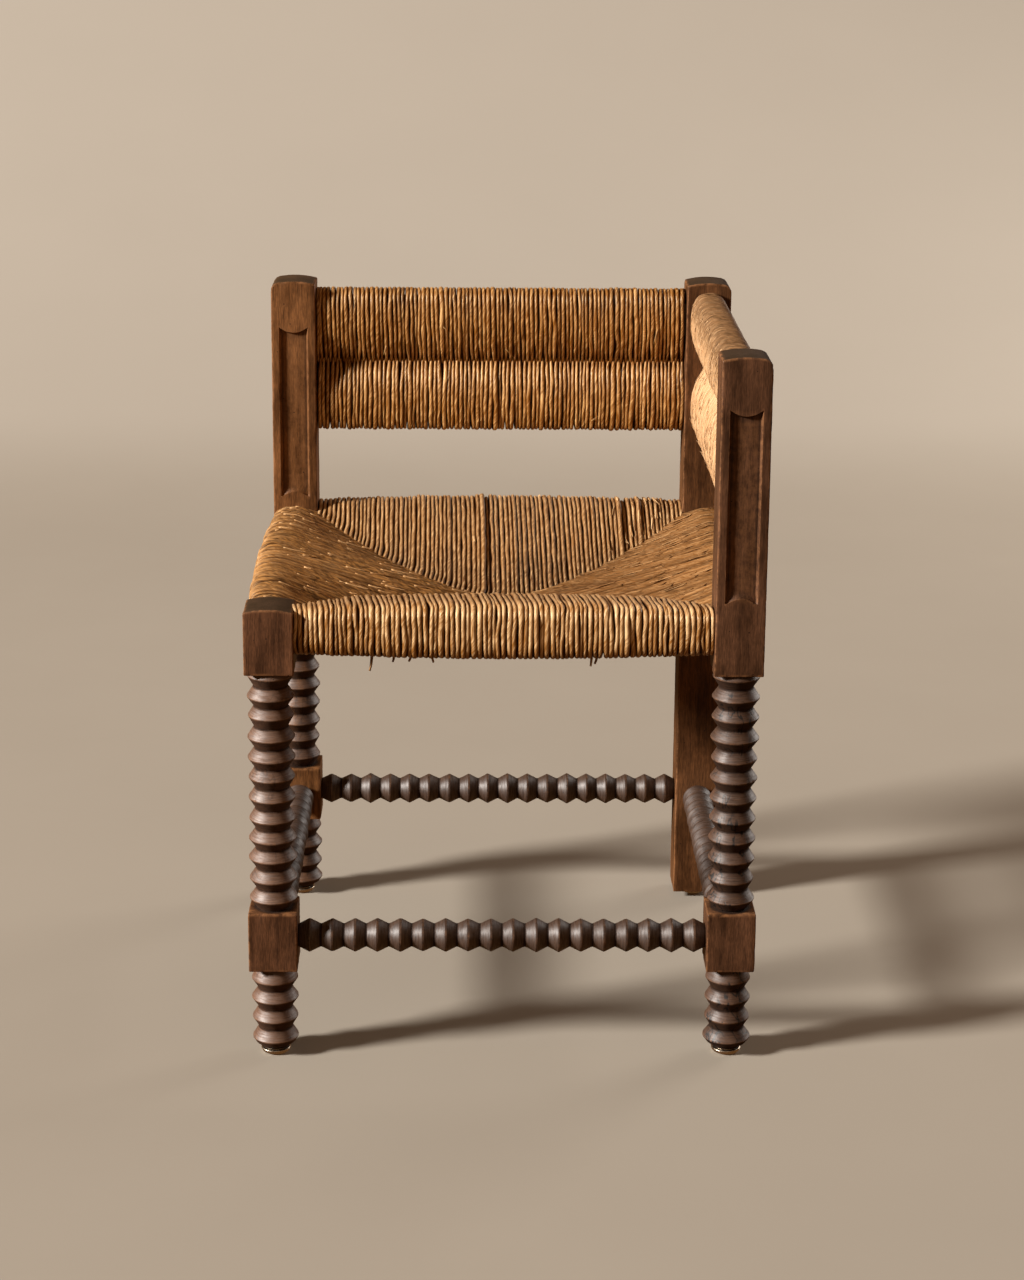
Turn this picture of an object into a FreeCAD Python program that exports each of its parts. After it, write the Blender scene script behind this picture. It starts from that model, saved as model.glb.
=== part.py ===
import FreeCAD, Part
import math
import os

import Sketcher
from FreeCAD import Rotation, Vector

# Corner chair: X to the right, Y to the back, Z up, origin on the floor midway between the four posts.
# Two backs of wound rush stand on the rear and the right side, the front left post stops at the seat.

doc = FreeCAD.newDocument("corner_chair")

# Driving sizes in millimetres, one row each: alias, value, meaning
SIZES = [
    ("span_x", 443, "post axis to post axis across the front"),
    ("span_y", 410, "post axis to post axis from front to back"),
    ("post_side", 47, "side of the square posts"),
    ("tall_height", 700, "height of the three tall posts"),
    ("short_height", 458, "height of the front left post"),
    ("foot_height", 7, "height of the wood above the floor, which the glide fills"),
    ("square_skirt", 21.5, "square part of the posts below the seat rails"),
    ("block_top", 153, "upper end of the square block at the stretchers"),
    ("block_bottom", 93, "lower end of the square block at the stretchers"),
    ("leg_ring_diameter", 45.5, "sharp edge of the leg rings"),
    ("leg_neck_diameter", 32.5, "bottom of the grooves between the leg rings"),
    ("leg_neck_step", 0.6, "how far the core lies under the grooves"),
    ("ring_flats", 20, "flats round each ring, so that the many rings stay light"),
    ("upper_rings", 12, "rings between the seat and the block"),
    ("lower_rings", 4, "rings between the block and the foot"),
    ("upper_lead", 5.2, "from the square part down to the first ring edge"),
    ("lower_lead", 14, "from the block down to the first ring edge"),
    ("top_rise", 3, "rise of the arched post tops"),
    ("top_round", 5.5, "rounding of the outer top edges"),
    ("recess_drop", 49, "from the post top to the recessed panel"),
    ("recess_length", 187, "length of the recessed panel"),
    ("recess_width", 31, "width of the recessed panel at the surface"),
    ("recess_depth", 4, "depth of the recessed panel"),
    ("recess_bevel", 2.3, "width of the sloping walls of the recess"),
    ("recess_tongue", 6, "how far the ends of the recess bulge inwards"),
    ("stretcher_height", 122, "stretcher axis above the floor"),
    ("stretcher_ring_diameter", 33, "sharp edge of the stretcher rings"),
    ("stretcher_neck_diameter", 22, "bottom of the grooves between the stretcher rings"),
    ("pin_diameter", 16, "round tenons of the stretchers"),
    ("long_rings", 18, "rings on the front and rear stretchers"),
    ("short_rings", 17, "rings on the left and right stretchers"),
    ("tenon_thickness", 12, "thickness of the rail tenons"),
    ("tenon_height", 22, "height of the rail tenons"),
    ("tenon_wall", 2, "wood left between two tenons that meet in a post"),
    ("tenon_fit", 0.1, "clearance round a tenon"),
    ("tenon_end_gap", 0.5, "clearance at the end of a tenon"),
    ("seat_rail_width", 30, "seat rail, inwards"),
    ("seat_rail_height", 31, "seat rail, upwards"),
    ("seat_rail_drop", 43, "from the top of the short post to the underside of the seat rails"),
    ("front_rail_inset", 12, "from the post face to the front and rear seat rails"),
    ("side_rail_inset", 8.5, "from the post face to the left and right seat rails"),
    ("seat_wrap", 6, "rush laid round the seat rails"),
    ("seat_nose", 17, "rounding of the rush over the rail edges"),
    ("seat_sag", 42, "from the top of the rush at the rails down to the middle of the seat"),
    ("seat_middle_thickness", 20, "rush at the middle of the seat"),
    ("seat_dish", 400, "radius of the hollow of the seat"),
    ("seat_ridge", 33, "ridge where the front and rear panels meet"),
    ("rush_clearance", 0.3, "rush to wood and panel to panel"),
    ("back_drop", 11, "from the top of the tall posts down to the wound backs"),
    ("upper_lobe_height", 77, "from the top of a back to the waist where the windings cross"),
    ("lower_lobe_height", 75, "from the waist to the underside of a back"),
    ("upper_lobe", 37, "thickness of the winding over the top rail"),
    ("lower_lobe", 33, "thickness of the winding over the bottom rail"),
    ("waist_thickness", 9, "thickness where the windings cross"),
    ("lobe_taper", 30, "height over which each lobe narrows to the waist"),
    ("back_wrap", 5, "rush laid round the back rails"),
    ("back_rail_height", 34, "back rails, upwards"),
    ("glide_diameter", 26, "rim of the metal glides"),
    ("glide_rim", 2.5, "height of the straight rim of the glides"),
    ("glide_flat", 12, "flat under the domed glides"),
    ("shank_diameter", 3, "nail of the glides"),
    ("shank_length", 18, "length of the nail in the wood"),
    ("shank_fit", 0.05, "clearance round the nail"),
]

sheet = doc.addObject("Spreadsheet::Sheet", "Sizes")
for row, (alias, value, meaning) in enumerate(SIZES, start=1):
    sheet.set(f"A{row}", str(value))
    sheet.setAlias(f"A{row}", alias)
    sheet.set(f"B{row}", meaning)
doc.recompute()


class Size:
    """A length that holds its number and the sheet expression that gives it."""

    def __init__(self, value, text):
        self.value = float(value)
        self.text = text

    def join(self, sign, other, value):
        return Size(value, f"({self.text} {sign} {other.text})")

    def __add__(self, other):
        other = as_size(other)
        return self.join("+", other, self.value + other.value)

    def __sub__(self, other):
        other = as_size(other)
        return self.join("-", other, self.value - other.value)

    def __mul__(self, other):
        other = as_size(other)
        return self.join("*", other, self.value * other.value)

    def __truediv__(self, other):
        other = as_size(other)
        return self.join("/", other, self.value / other.value)

    def __neg__(self):
        return Size(-self.value, f"(-1 * {self.text})")


def as_size(number):
    return number if isinstance(number, Size) else Size(number, repr(float(number)))


def size(alias):
    return Size(sheet.get(alias), f"Sizes.{alias}")


ZERO = as_size(0)
# Two places nearer than this count as one
SAME_PLACE = 0.01

# Sizes that follow from the driving ones
span_x = size("span_x")
span_y = size("span_y")
post_side = size("post_side")
post_half = post_side / 2
clear_x = span_x - post_side
clear_y = span_y - post_side
fit = size("tenon_fit")
rush_gap = size("rush_clearance")
tenon_half = size("tenon_thickness") / 2
pin_radius = size("pin_diameter") / 2
front_rail_y = span_y / 2 + post_half - size("front_rail_inset") - size("seat_rail_width") / 2
side_rail_x = span_x / 2 + post_half - size("side_rail_inset") - size("seat_rail_width") / 2
seat_rail_bottom = size("short_height") - size("seat_rail_drop")
seat_rail_middle = seat_rail_bottom + size("seat_rail_height") / 2
seat_top = seat_rail_bottom + size("seat_rail_height") + size("seat_wrap")
square_bottom = seat_rail_bottom - size("square_skirt")
back_top = size("tall_height") - size("back_drop")
back_waist = back_top - size("upper_lobe_height")
back_bottom = back_waist - size("lower_lobe_height")
top_rail_thickness = size("upper_lobe") - size("back_wrap") * 2
bottom_rail_thickness = size("lower_lobe") - size("back_wrap") * 2
top_rail_middle = back_waist + size("lobe_taper") + size("back_rail_height") / 2
bottom_rail_middle = back_waist - size("lobe_taper") - size("back_rail_height") / 2
BACK_RAILS = (
    ("top", top_rail_middle, top_rail_thickness),
    ("bottom", bottom_rail_middle, bottom_rail_thickness),
)
pin_length = post_half - pin_radius - size("tenon_wall")
back_tenon = post_half - tenon_half - size("tenon_wall")
seat_tenon_x = post_half - (span_x / 2 - side_rail_x) - tenon_half - size("tenon_wall")
seat_tenon_y = post_half - (span_y / 2 - front_rail_y) - tenon_half - size("tenon_wall")


def origin_feature(body, role):
    return next(item for item in body.Origin.OriginFeatures if item.Role == role)


def place(item, x, y, z, rotation):
    item.Placement.Rotation = rotation
    for axis, length in (("x", x), ("y", y), ("z", z)):
        item.setExpression(f"Placement.Base.{axis}", length.text)


def new_body(label, x=ZERO, y=ZERO, z=ZERO, turn=0):
    """A body at a bound place, turned about the vertical."""
    body = doc.addObject("PartDesign::Body", label)
    body.Label = label
    place(body, x, y, z, Rotation(Vector(0, 0, 1), turn))
    return body


def new_sketch(body, name, role, offset=ZERO):
    sketch = body.newObject("Sketcher::SketchObject", name)
    sketch.AttachmentSupport = [(origin_feature(body, role), "")]
    sketch.MapMode = "FlatFace"
    sketch.setExpression("AttachmentOffset.Base.z", offset.text)
    return sketch


def bind(sketch, constraint, length):
    index = sketch.addConstraint(constraint)
    sketch.setExpression(f"Constraints[{index}]", length.text)


def pin_point(sketch, line, end, x, y):
    """Ties a point of the sketch to its two sheet expressions."""
    if x.value == 0:
        sketch.addConstraint(Sketcher.Constraint("PointOnObject", line, end, -2))
    else:
        bind(sketch, Sketcher.Constraint("DistanceX", line, end, x.value), x)
    if y.value == 0:
        sketch.addConstraint(Sketcher.Constraint("PointOnObject", line, end, -1))
    else:
        bind(sketch, Sketcher.Constraint("DistanceY", line, end, y.value), y)


def bulged_arc(start, end, radius, side):
    """The shorter arc between two points, bulging to the left (1) or right (-1) of the way along it."""
    chord = end - start
    half = chord.Length / 2
    rise = radius - math.sqrt(max(radius ** 2 - half ** 2, 0))
    normal = Vector(-chord.y, chord.x, 0).normalize()
    return Part.Arc(start, (start + end) / 2 + normal * (side * rise), end)


def draw_outline(sketch, points, arcs=None):
    """A closed outline of lines, and of arcs {point: (radius, side)} from that point to the next."""
    arcs = arcs or {}
    places = [Vector(x.value, y.value, 0) for x, y in points]
    ends = []
    for number, start in enumerate(places):
        end = places[(number + 1) % len(places)]
        if number in arcs:
            radius, side = arcs[number]
            line = sketch.addGeometry(bulged_arc(start, end, radius.value, side), False)
            swapped = (sketch.getPoint(line, 1) - start).Length > (sketch.getPoint(line, 2) - start).Length
            ends.append((line, 2, 1) if swapped else (line, 1, 2))
        else:
            line = sketch.addGeometry(Part.LineSegment(start, end), False)
            ends.append((line, 1, 2))
    for number, (line, _, last) in enumerate(ends):
        after, after_first, _ = ends[(number + 1) % len(ends)]
        sketch.addConstraint(Sketcher.Constraint("Coincident", line, last, after, after_first))
    for (line, first, _), (x, y) in zip(ends, points):
        pin_point(sketch, line, first, x, y)
    for number, (radius, _) in arcs.items():
        bind(sketch, Sketcher.Constraint("Radius", ends[number][0], radius.value), radius)


def draw_rectangle(sketch, x, y, width, height):
    half_width = width / 2
    half_height = height / 2
    draw_outline(sketch, [
        (x - half_width, y - half_height),
        (x + half_width, y - half_height),
        (x + half_width, y + half_height),
        (x - half_width, y + half_height),
    ])


def draw_circle(sketch, x, y, radius):
    line = sketch.addGeometry(Part.Circle(Vector(x.value, y.value, 0), Vector(0, 0, 1), radius.value), False)
    pin_point(sketch, line, 3, x, y)
    bind(sketch, Sketcher.Constraint("Radius", line, radius.value), radius)


def pad(body, name, sketch, length, symmetric=False):
    feature = body.newObject("PartDesign::Pad", name)
    feature.Profile = sketch
    feature.SideType = "Symmetric" if symmetric else "One side"
    feature.setExpression("Length", length.text)
    return feature


def pocket(body, name, sketch, depth=None, flip=False):
    """A cut into the sketch plane, or right through the body on both sides where no depth is given."""
    doc.recompute()
    before = body.Shape.Volume
    feature = body.newObject("PartDesign::Pocket", name)
    feature.Profile = sketch
    feature.Reversed = flip
    if depth is None:
        feature.SideType = "Symmetric"
        feature.Type = "ThroughAll"
    else:
        feature.setExpression("Length", depth.text)
    doc.recompute()
    if not feature.Shape.Volume < before:
        raise RuntimeError(f"{body.Label}: {name} cuts nothing")
    return feature


def turned_run(name, stations):
    """Turned wood along Z through (height, radius) stations, in flats so that many rings stay light."""
    flats = int(sheet.get("ring_flats"))
    turns = [2 * math.pi * (number + 0.5) / flats for number in range(flats)]
    outlines = []
    for height, radius in stations:
        outlines.append([Vector(radius * math.cos(turn), radius * math.sin(turn), height) for turn in turns])
    faces = [Part.Face(Part.makePolygon(outline + outline[:1])) for outline in (outlines[0], outlines[-1])]
    for low, high in zip(outlines, outlines[1:]):
        for number in range(flats):
            after = (number + 1) % flats
            corners = [low[number], low[after], high[after], high[number], low[number]]
            faces.append(Part.Face(Part.makePolygon(corners)))
    run = doc.addObject("Part::Feature", name)
    run.Shape = Part.makeSolid(Part.makeShell(faces))
    return run


def ring_stations(first_edge, count, pitch, ring_radius, neck_radius):
    """Edge and groove heights of a row of rings, upwards from the edge of the lowest."""
    stations = [(first_edge - pitch / 2, neck_radius)]
    for number in range(count):
        stations.append((first_edge + number * pitch, ring_radius))
        stations.append((first_edge + (number + 0.5) * pitch, neck_radius))
    return stations


# Posts and legs

# Each post: its corner along X and Y, the size that gives its height, and what is worked on it
POSTS = {
    "front_left_leg": {"at": (-1, -1), "height": "short_height", "turned": True, "recess": False},
    "front_right_leg": {"at": (1, -1), "height": "tall_height", "turned": True, "recess": True},
    "back_left_leg": {"at": (-1, 1), "height": "tall_height", "turned": True, "recess": True},
    "corner_post": {"at": (1, 1), "height": "tall_height", "turned": False, "recess": False},
}


def add_square(body, name, bottom, top):
    sketch = new_sketch(body, name + "_section", "XY_Plane", bottom)
    draw_rectangle(sketch, ZERO, ZERO, post_side, post_side)
    pad(body, name, sketch, top - bottom)


def leg_run(name, top, bottom, lead, count):
    """Sharp rings: the top edge lies below the square wood by lead, the last groove ends at bottom."""
    ring_radius = sheet.get("leg_ring_diameter") / 2
    neck_radius = sheet.get("leg_neck_diameter") / 2
    pitch = (top - bottom - lead) / (count - 0.5)
    stations = ring_stations(bottom + pitch / 2, count, pitch, ring_radius, neck_radius)
    groove, _ = stations.pop()
    if groove < top:
        stations += [(groove, neck_radius), (top, neck_radius)]
    else:
        cut_radius = ring_radius - (ring_radius - neck_radius) * lead / (pitch / 2)
        stations.append((top, cut_radius))
    return turned_run(name, stations)


def arch_top(body, height, outer_side):
    """The top of a post is a low arch across X, its outer edge rounded where the post is tall."""
    low = height - size("top_rise")
    above = height + post_half
    rise = size("top_rise")
    radius = (post_half * post_half + rise * rise) / (rise * 2)
    sketch = new_sketch(body, "top_arch", "XZ_Plane")
    draw_outline(sketch, [
        (-post_half, low),
        (ZERO, height),
        (post_half, low),
        (post_side, low),
        (post_side, above),
        (-post_side, above),
        (-post_side, low),
    ], {0: (radius, 1), 1: (radius, 1)})
    arch = pocket(body, "top_arch_cut", sketch)
    if outer_side == 0:
        return
    edges = []
    for number, edge in enumerate(body.Shape.Edges, start=1):
        box = edge.BoundBox
        outwards = (box.Center.x - body.Placement.Base.x) * outer_side
        level = box.ZLength < SAME_PLACE and abs(box.Center.z - low.value) < SAME_PLACE
        if level and box.XLength < SAME_PLACE and abs(outwards - post_half.value) < SAME_PLACE:
            edges.append(f"Edge{number}")
    rounding = body.newObject("PartDesign::Fillet", "top_rounding")
    rounding.Base = (arch, edges)
    rounding.setExpression("Radius", "Sizes.top_round")


def cut_recess(body, height):
    """A shallow panel in the front face, with sloping walls and ends that bulge inwards."""
    half = size("recess_width") / 2
    top = height - size("recess_drop")
    bottom = top - size("recess_length")
    tongue = size("recess_tongue")
    bevel = size("recess_bevel")
    sections = []
    for name, inset, drop in (("recess_mouth", ZERO, ZERO), ("recess_floor", bevel, size("recess_depth"))):
        wide = half - inset
        radius = (wide * wide + tongue * tongue) / (tongue * 2)
        sketch = new_sketch(body, name, "XZ_Plane", post_half - drop)
        draw_outline(sketch, [
            (-wide, bottom + inset),
            (wide, bottom + inset),
            (wide, top - inset),
            (-wide, top - inset),
        ], {0: (radius, 1), 2: (radius, 1)})
        sections.append(sketch)
    loft = body.newObject("PartDesign::SubtractiveLoft", "recess")
    loft.Profile = sections[0]
    loft.Sections = [sections[1]]
    loft.Ruled = True


def cut_mortises(body, side_x, side_y, backs_x, backs_y):
    """Blind mortises for the rails and round sockets for the stretchers, on the two inner faces of a post."""
    seat = (seat_rail_middle,)
    along_x = (span_y / 2 - front_rail_y, seat_tenon_x, side_x, "YZ_Plane", backs_x, -side_y)
    along_y = (span_x / 2 - side_rail_x, seat_tenon_y, side_y, "XZ_Plane", backs_y, -side_x)
    for shift, seat_tenon, side, plane, backs, inwards in (along_x, along_y):
        name = plane[:2].lower()
        face = post_half * (-side if plane == "YZ_Plane" else side)
        flip = (side > 0) if plane == "YZ_Plane" else (side < 0)
        groups = [("seat", shift * inwards, seat, seat_tenon)]
        if backs:
            groups.append(("back", ZERO, (top_rail_middle, bottom_rail_middle), back_tenon))
        for kind, centre, heights, tenon in groups:
            sketch = new_sketch(body, f"{kind}_mortise_{name}", plane, face)
            for height in heights:
                draw_rectangle(sketch, centre, height, size("tenon_thickness"), size("tenon_height"))
            pocket(body, f"{kind}_mortise_cut_{name}", sketch, tenon + size("tenon_end_gap"), flip)
        sketch = new_sketch(body, f"socket_{name}", plane, face)
        draw_circle(sketch, ZERO, size("stretcher_height"), pin_radius)
        pocket(body, f"socket_cut_{name}", sketch, pin_length + size("tenon_end_gap"), flip)


def make_post(label, at, height, turned, recess):
    side_x, side_y = at
    tall = height == "tall_height"
    height = size(height)
    foot = size("foot_height")
    body = new_body(label + "_squares")
    if turned:
        core = new_sketch(body, "core_section", "XY_Plane", foot)
        draw_circle(core, ZERO, ZERO, size("leg_neck_diameter") / 2 - size("leg_neck_step"))
        pad(body, "core", core, square_bottom - foot)
        add_square(body, "seat_square", square_bottom, height)
        add_square(body, "stretcher_block", size("block_bottom"), size("block_top"))
    else:
        add_square(body, "square_post", foot, height)
    arch_top(body, height, side_x if tall else 0)
    if recess:
        cut_recess(body, height)
    cut_mortises(body, side_x, side_y, tall and side_y > 0, tall and side_x > 0)
    wood = body
    if turned:
        upper = leg_run(label + "_upper_rings", square_bottom.value, sheet.get("block_top"),
                        sheet.get("upper_lead"), int(sheet.get("upper_rings")))
        lower = leg_run(label + "_lower_rings", sheet.get("block_bottom"), sheet.get("foot_height"),
                        sheet.get("lower_lead"), int(sheet.get("lower_rings")))
        wood = doc.addObject("Part::MultiFuse", label + "_wood")
        wood.Shapes = [body, upper, lower]
        wood.Refine = False
    hole = doc.addObject("Part::Cylinder", label + "_nail_hole")
    hole.setExpression("Radius", (size("shank_diameter") / 2 + size("shank_fit")).text)
    hole.setExpression("Height", (size("shank_length") + size("tenon_end_gap")).text)
    place(hole, ZERO, ZERO, foot, Rotation())
    post = doc.addObject("Part::Cut", label)
    post.Base = wood
    post.Tool = hole
    post.Refine = False
    place(post, span_x / 2 * side_x, span_y / 2 * side_y, ZERO, Rotation())
    return post


# Stretchers

# The rings are turned about Z, then laid along X or Y
ALONG_X = Rotation(Vector(0, 0, 1), Vector(1, 0, 0))
ALONG_Y = Rotation(Vector(0, 0, 1), Vector(0, 1, 0))


def make_stretcher(label, x, y, turn, clear, count):
    """A row of sharp rings turned from one stick, with a round pin at each end."""
    pitch = clear.value / count
    ring_radius = sheet.get("stretcher_ring_diameter") / 2
    neck_radius = sheet.get("stretcher_neck_diameter") / 2
    stations = ring_stations(pitch / 2 - clear.value / 2, count, pitch, ring_radius, neck_radius)
    rings = turned_run(label + "_rings", stations)
    pin = doc.addObject("Part::Cylinder", label + "_pins")
    pin.setExpression("Radius", (pin_radius - fit).text)
    pin.setExpression("Height", (clear + pin_length * 2).text)
    place(pin, ZERO, ZERO, -(clear / 2 + pin_length), Rotation())
    stretcher = doc.addObject("Part::Fuse", label)
    stretcher.Base = rings
    stretcher.Tool = pin
    stretcher.Refine = False
    place(stretcher, x, y, size("stretcher_height"), turn)
    return stretcher


# Rails inside the rush

def make_rail(label, x, y, z, turn, clear, thickness, height, tenon):
    """A plain stick between two posts, with a shouldered tenon at each end."""
    body = new_body(label, x, y, z, turn)
    section = new_sketch(body, "rail_section", "YZ_Plane")
    draw_rectangle(section, ZERO, ZERO, thickness, height)
    pad(body, "rail", section, clear, symmetric=True)
    section = new_sketch(body, "tenon_section", "YZ_Plane")
    draw_rectangle(section, ZERO, ZERO, size("tenon_thickness") - fit * 2, size("tenon_height") - fit * 2)
    pad(body, "tenons", section, clear + tenon * 2, symmetric=True)
    return body


def make_seat_rail(label, x, y, turn, clear, tenon):
    return make_rail(label, x, y, seat_rail_middle, turn, clear, size("seat_rail_width"),
                     size("seat_rail_height"), tenon)


# Wound backs

def make_back_rush(label, x, y, turn, clear):
    """Rush wound in a figure eight: a fat lobe over each rail and a thin waist where the turns cross."""
    body = new_body(label, x, y, ZERO, turn)
    upper = size("upper_lobe") / 2
    lower = size("lower_lobe") / 2
    waist = size("waist_thickness") / 2
    taper = size("lobe_taper")
    sketch = new_sketch(body, "winding_section", "YZ_Plane")
    draw_outline(sketch, [
        (upper, back_top - upper),
        (ZERO, back_top),
        (-upper, back_top - upper),
        (-upper, back_waist + taper),
        (-waist, back_waist),
        (-lower, back_waist - taper),
        (-lower, back_bottom + lower),
        (ZERO, back_bottom),
        (lower, back_bottom + lower),
        (lower, back_waist - taper),
        (waist, back_waist),
        (upper, back_waist + taper),
    ], {0: (upper, -1), 1: (upper, -1), 6: (lower, -1), 7: (lower, -1)})
    for _, height, thickness in BACK_RAILS:
        tall = size("back_rail_height") + rush_gap * 2
        draw_rectangle(sketch, ZERO, height, thickness + rush_gap * 2, tall)
    pad(body, "winding", sketch, clear - rush_gap * 2, symmetric=True)
    return body


# Woven seat

def make_seat_panel(name, turn, clear, rail_middle, corner_depth, tip_depth, tip_half):
    """One panel of the seat: rush round the rail, then a hollow slope to the ridge, cut along the mitres."""
    body = new_body(f"{name}_seat_rush", turn=turn)
    wrap = size("seat_wrap")
    rail_half = size("seat_rail_width") / 2
    nose = size("seat_nose")
    outer = -(rail_middle + rail_half + wrap)
    inner = -(rail_middle - rail_half)
    tip = -(tip_depth + rush_gap)
    bottom = seat_rail_bottom - wrap
    middle_top = seat_top - size("seat_sag")
    sketch = new_sketch(body, "panel_section", "YZ_Plane")
    draw_outline(sketch, [
        (outer, bottom + nose),
        (outer + nose, bottom),
        (inner, bottom),
        (tip, middle_top - size("seat_middle_thickness")),
        (tip, middle_top),
        (inner, seat_top),
        (outer + nose, seat_top),
        (outer, seat_top - nose),
    ], {0: (nose, -1), 4: (size("seat_dish"), 1), 6: (nose, -1)})
    draw_rectangle(sketch, -rail_middle, seat_rail_middle, size("seat_rail_width") + rush_gap * 2,
                   size("seat_rail_height") + rush_gap * 2)
    half_length = clear / 2
    pad(body, "panel", sketch, clear - rush_gap * 2, symmetric=True)
    for mitre, side in (("right_mitre", 1), ("left_mitre", -1)):
        corner = (half_length - rush_gap * 2) * side
        far = (half_length + post_half) * side
        end = (tip_half - rush_gap * 2) * side
        sketch = new_sketch(body, mitre, "XY_Plane")
        draw_outline(sketch, [
            (corner, -corner_depth),
            (end, -tip_depth),
            (end, post_half),
            (far, post_half),
            (far, -corner_depth),
        ])
        pocket(body, mitre + "_cut", sketch)
    return body


# Metal glides

def make_glides(label):
    """Four domed metal feet, each on a nail, one under each post."""
    body = new_body(label, -(span_x / 2), -(span_y / 2))
    body.AllowCompound = True
    foot = size("foot_height")
    rim = size("glide_diameter") / 2
    flat = size("glide_flat") / 2
    shank = size("shank_diameter") / 2
    rim_bottom = foot - size("glide_rim")
    reach = rim - flat
    radius = (reach * reach + rim_bottom * rim_bottom) / (rim_bottom * 2)
    sketch = new_sketch(body, "glide_profile", "XZ_Plane")
    draw_outline(sketch, [
        (ZERO, ZERO),
        (flat, ZERO),
        (rim, rim_bottom),
        (rim, foot),
        (shank, foot),
        (shank, foot + size("shank_length")),
        (ZERO, foot + size("shank_length")),
    ], {1: (radius, -1)})
    glide = body.newObject("PartDesign::Revolution", "glide")
    glide.Profile = sketch
    glide.ReferenceAxis = (origin_feature(body, "Z_Axis"), [""])
    pattern = body.newObject("PartDesign::LinearPattern", "glides")
    pattern.Originals = [glide]
    pattern.Direction = (origin_feature(body, "X_Axis"), [""])
    pattern.setExpression("Length", span_x.text)
    pattern.Occurrences = 2
    pattern.Direction2 = (origin_feature(body, "Y_Axis"), [""])
    pattern.setExpression("Length2", span_y.text)
    pattern.Occurrences2 = 2
    body.Tip = pattern
    return body


# The chair, put together

pieces = [make_post(label, **plan) for label, plan in POSTS.items()]
pieces.append(make_glides("foot_glides"))

long_rings = int(sheet.get("long_rings"))
short_rings = int(sheet.get("short_rings"))
for name, side in (("front", -1), ("rear", 1)):
    y = span_y / 2 * side
    rail_y = front_rail_y * side
    pieces.append(make_stretcher(f"{name}_stretcher", ZERO, y, ALONG_X, clear_x, long_rings))
    pieces.append(make_seat_rail(f"{name}_seat_rail", ZERO, rail_y, 0, clear_x, seat_tenon_x))
for name, side in (("left", -1), ("right", 1)):
    x = span_x / 2 * side
    rail_x = side_rail_x * side
    pieces.append(make_stretcher(f"{name}_stretcher", x, ZERO, ALONG_Y, clear_y, short_rings))
    pieces.append(make_seat_rail(f"{name}_seat_rail", rail_x, ZERO, 90, clear_y, seat_tenon_y))

half_x = span_x / 2
half_y = span_y / 2
for name, middle, thickness in BACK_RAILS:
    height = size("back_rail_height")
    pieces.append(make_rail(f"rear_back_{name}_rail", ZERO, half_y, middle, 0, clear_x, thickness, height,
                            back_tenon))
    pieces.append(make_rail(f"side_back_{name}_rail", half_x, ZERO, middle, 90, clear_y, thickness, height,
                            back_tenon))

ridge_half = size("seat_ridge") / 2
for name, turn in (("front", 0), ("rear", 180)):
    pieces.append(make_seat_panel(name, turn, clear_x, front_rail_y, clear_y / 2, ZERO, ridge_half))
for name, turn in (("right", 90), ("left", 270)):
    pieces.append(make_seat_panel(name, turn, clear_y, side_rail_x, clear_x / 2, ridge_half, ZERO))

pieces.append(make_back_rush("rear_back_rush", ZERO, half_y, 0, clear_x))
pieces.append(make_back_rush("side_back_rush", half_x, ZERO, 90, clear_y))

doc.recompute()

# Every object and every solid is checked, then each piece is written to its own file
for item in doc.Objects:
    if "Invalid" in item.State or "Error" in item.State:
        raise RuntimeError(f"{item.Label} failed: {item.State}")
for piece in pieces:
    shape = piece.Shape
    solids = len(POSTS) if piece.Label == "foot_glides" else 1
    if shape.isNull() or not shape.isValid() or len(shape.Solids) != solids:
        raise RuntimeError(f"{piece.Label} is not {solids} valid solid")
os.makedirs("parts", exist_ok=True)
for piece in pieces:
    piece.Shape.exportStep(f"parts/{piece.Label}.step")
    print(f"{piece.Label}: {piece.Shape.Volume / 1000:.1f} cm3")
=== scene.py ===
import itertools
import math

import bpy
import numpy as np
from mathutils import Matrix, Vector


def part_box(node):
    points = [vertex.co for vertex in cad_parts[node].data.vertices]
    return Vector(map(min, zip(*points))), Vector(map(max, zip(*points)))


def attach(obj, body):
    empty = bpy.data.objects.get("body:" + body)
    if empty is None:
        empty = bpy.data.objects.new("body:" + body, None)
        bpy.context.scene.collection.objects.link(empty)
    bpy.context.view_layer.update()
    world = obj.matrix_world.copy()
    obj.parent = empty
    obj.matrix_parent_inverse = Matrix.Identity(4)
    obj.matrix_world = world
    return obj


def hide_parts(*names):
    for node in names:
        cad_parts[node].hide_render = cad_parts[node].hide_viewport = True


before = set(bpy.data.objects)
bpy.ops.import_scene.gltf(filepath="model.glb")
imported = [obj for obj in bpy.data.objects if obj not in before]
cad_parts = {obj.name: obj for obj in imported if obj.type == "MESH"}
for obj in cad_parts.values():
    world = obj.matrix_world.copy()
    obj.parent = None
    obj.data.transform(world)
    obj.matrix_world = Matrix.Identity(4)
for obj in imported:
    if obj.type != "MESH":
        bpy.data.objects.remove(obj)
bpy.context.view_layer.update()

# Posts
# Four posts of dark waxed hardwood, with the rails and stretchers tenoned into their inner faces. Three are
# square at the seat and at the stretchers and turned into sharp rings between, and two of these have a sunk
# panel carved in front. The corner post is square down to the floor.

MM = 0.001
scene = bpy.context.scene


def mm(*sizes):
    return [size * MM for size in sizes]


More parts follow.
